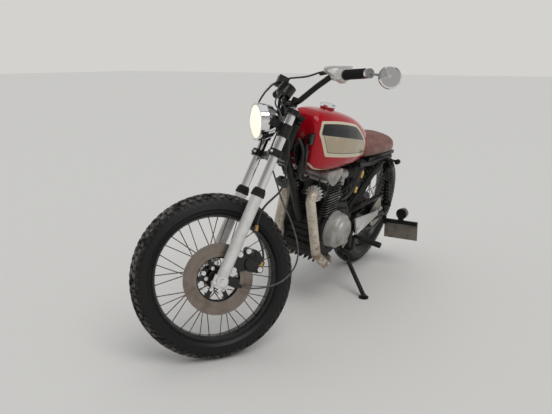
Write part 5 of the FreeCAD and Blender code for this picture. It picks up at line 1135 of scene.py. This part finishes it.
# The horn's parts: where each starts and ends along its axis, its two radii and its corners.
horn_parts = ((0, 0.012, 0.01, 0.01, 16), (0.01, 0.026, 0.026, 0.029, 40), (0.026, 0.03, 0.031, 0.031, 40),
              (0.03, 0.034, 0.022, 0.018, 40))
horn_bm = bmesh.new()
for start, end, radius, end_radius, steps in horn_parts:
    add_rod(horn_bm, horn_root + horn_lead * start, horn_root + horn_lead * end, radius, end_radius, steps)
finished("horn_can", horn_bm, machine, "chassis", gloss_black)

# Wiring and pipes. Two branches of the loom, the coils' leads to the plugs, the fuel pipes and the
# crankcase's breather, and the wires under the seat with their yellow relays. All are held at both ends.


def loom_wire(name, route, radius, side=1, material=hose_rubber):
    """A wire or pipe of the chassis along one smooth spline, on the side given."""
    to_fork = fork.inverted() @ machine
    places = [to_fork @ Vector((forward, left * side, up)) for forward, left, up in route]
    held_cable(name, [tuple(1000 * place) for place in places], radius, "chassis", material)


loom_route = ((1.045, 0.034, 0.86), (1.02, 0.05, 0.83), (1.0, 0.052, 0.77), (0.985, 0.04, 0.7),
              (0.95, 0.034, 0.665), (0.9, 0.03, 0.655), (0.87, 0.03, 0.665))
coil_lead_route = ((0.985, 0.045, 0.82), (0.986, 0.05, 0.84), (1.005, 0.062, 0.83), (1.008, 0.068, 0.78),
                   (0.99, 0.072, 0.72), (0.93, 0.075, 0.69), (0.86, 0.075, 0.676), (0.835, 0.07, 0.655),
                   (0.826, 0.07, 0.63))
fuel_route = ((0.6, 0.035, 0.706), (0.598, 0.04, 0.685), (0.6, 0.046, 0.668), (0.604, 0.048, 0.658))
breather_route = ((0.62, 0.03, 0.51), (0.6, 0.06, 0.53), (0.575, 0.085, 0.57), (0.55, 0.1, 0.6),
                  (0.5, 0.1, 0.61), (0.46, 0.085, 0.6), (0.43, 0.06, 0.58))
# A place on each seat wire, and the wire's points as steps from it, forward, left and up.
seat_wire_places = ((0.452, 0.078, 0.6), (0.436, 0.084, 0.6), (0.47, 0.066, 0.6))
seat_wire_steps = ((-0.06, -0.02, 0.09), (-0.03, 0, 0.06), (0, 0.006, 0), (0.02, 0, -0.06),
                   (0.06, -0.012, -0.1), (0.1, -0.03, -0.11))
for side, word in ((1, "left"), (-1, "right")):
    loom_wire("loom_" + word, loom_route, radius=0.0065, side=side)
    loom_wire("coil_lead_" + word, coil_lead_route, radius=0.0035, side=side)
    loom_wire("fuel_pipe_" + word, fuel_route, radius=0.0038, side=side, material=cable_sheath)
loom_wire("breather_pipe", breather_route, radius=0.006, material=dull_rubber)
for count, (place, sheath) in enumerate(zip(seat_wire_places, (hose_rubber, cable_sheath, hose_rubber))):
    loom_wire("seat_wire_%d" % count, [Vector(place) + Vector(step) for step in seat_wire_steps],
              radius=0.0035, material=sheath)
relays = (((0.4, 0.088, 0.632), (0.413, 0.09, 0.602), 0.0095),
          ((0.403, 0.088, 0.641), (0.4, 0.088, 0.631), 0.006),
          ((0.43, 0.088, 0.555), (0.446, 0.09, 0.53), 0.008))
relay_bm = bmesh.new()
for start, end, radius in relays:
    add_rod(relay_bm, start, end, radius, steps=20)
finished("yellow_relays", relay_bm, machine, "chassis", brass)

# Foot controls. The gear lever on its splined shaft at the left and the brake pedal at the right, in
# plated steel with rubber toe pieces.
gear_shaft, gear_toe = Vector((0.563, 0.1, 0.322)), Vector((0.62, 0.158, 0.298))
brake_pivot, brake_toe = Vector((0.47, -0.172, 0.314)), Vector((0.6, -0.17, 0.288))
lever_bm = bmesh.new()
add_rod(lever_bm, gear_shaft, gear_shaft + Vector((0, 0.05, 0)), radius=0.0065)
add_rod(lever_bm, gear_shaft + Vector((0, 0.038, 0)), gear_shaft + Vector((0, 0.052, 0)), radius=0.0115)
add_rod(lever_bm, gear_shaft + Vector((0, 0.046, 0)), gear_toe, radius=0.0058, end_radius=0.005, steps=16)
add_rod(lever_bm, brake_pivot, brake_pivot - Vector((0, 0.014, 0)), radius=0.0135)
add_rod(lever_bm, (0.474, -0.179, 0.306), brake_toe, radius=0.0058, end_radius=0.0052, steps=16)
finished("foot_lever_arms", lever_bm, machine, "chassis", plated_steel)
toe_bm = bmesh.new()
for toe, inside, outside in ((gear_toe, 0.152, 0.2), (brake_toe, -0.164, -0.21)):
    add_rod(toe_bm, (toe.x, inside, toe.z), (toe.x, outside, toe.z), radius=0.0092, end_radius=0.0085,
            steps=20)
finished("foot_lever_rubbers", toe_bm, machine, "chassis", dull_rubber)

# Mirror. A round chromed ring pressed round a steel back, whose plain grey paint has dulled. It is
# clamped to the end of the left grip.
mirror_left, mirror_up, mirror_back_radius = 0.4705, 0.854, 0.0335
mirror_finish, mirror_tree, mirror_shader = plain_material("mirror_back", (0.3, 0.3, 0.3), roughness=0.3,
                                                           metallic=0.6)
mirror_place = local_place(mirror_tree, fork)
_, mirror_across, mirror_height = axes_of(mirror_tree, mirror_place)
mirror_radius = radius_of(mirror_tree, math_of(mirror_tree, "SUBTRACT", mirror_across, mirror_left),
                          math_of(mirror_tree, "SUBTRACT", mirror_height, mirror_up))
mirror_ring = ramp_of(mirror_tree, mirror_radius, mirror_back_radius, mirror_back_radius + 0.001)
mirror_cloud, _ = mottled(mirror_tree, mirror_place, scale=130, low=0.35, high=0.7)
mirror_grey = mix_of(mirror_tree, mirror_cloud, (0.3, 0.3, 0.29), (0.2, 0.2, 0.195))
connect(mirror_tree, mix_of(mirror_tree, mirror_ring, mirror_grey, (0.8, 0.8, 0.8)),
        mirror_shader.inputs["Base Color"])
connect(mirror_tree, scaled(mirror_tree, mirror_ring, share=-0.38, rest=0.45),
        mirror_shader.inputs["Roughness"])
connect(mirror_tree, scaled(mirror_tree, mirror_ring, share=0.65, rest=0.3), mirror_shader.inputs["Metallic"])
dress(mirror_finish, "mirror")

# Handlebar fittings. The clutch cable's rubber boot at its lever, and the moulded ribs that run round
# both rubber grips.
boot_bm = bmesh.new()
add_rod(boot_bm, (0.049, 0.188, 0.8485), (0.046, 0.236, 0.8545), radius=0.0062, end_radius=0.0105, steps=24)
finished("cable_boot", boot_bm, fork, "steering", dull_rubber)
grip_foot, grip_tip, grip_rib_radius = Vector((0.0062, 0.303, 0.854)), Vector((-0.0158, 0.425, 0.854)), 0.0171
# Shares of the grip: where the first rib starts, the pitch of the ribs and the width of each.
first_rib_share, rib_pitch_share, rib_width_share = 0.06, 0.052, 0.026
rib_bm = bmesh.new()
for side in (-1, 1):
    for step in range(17):
        share = first_rib_share + rib_pitch_share * step
        ends = [grip_foot.lerp(grip_tip, place) for place in (share, share + rib_width_share)]
        inner, outer = (Vector((end.x, end.y * side, end.z)) for end in ends)
        add_rod(rib_bm, inner, outer, grip_rib_radius, steps=28)
finished("grip_ribs", rib_bm, fork, "steering", dull_rubber)
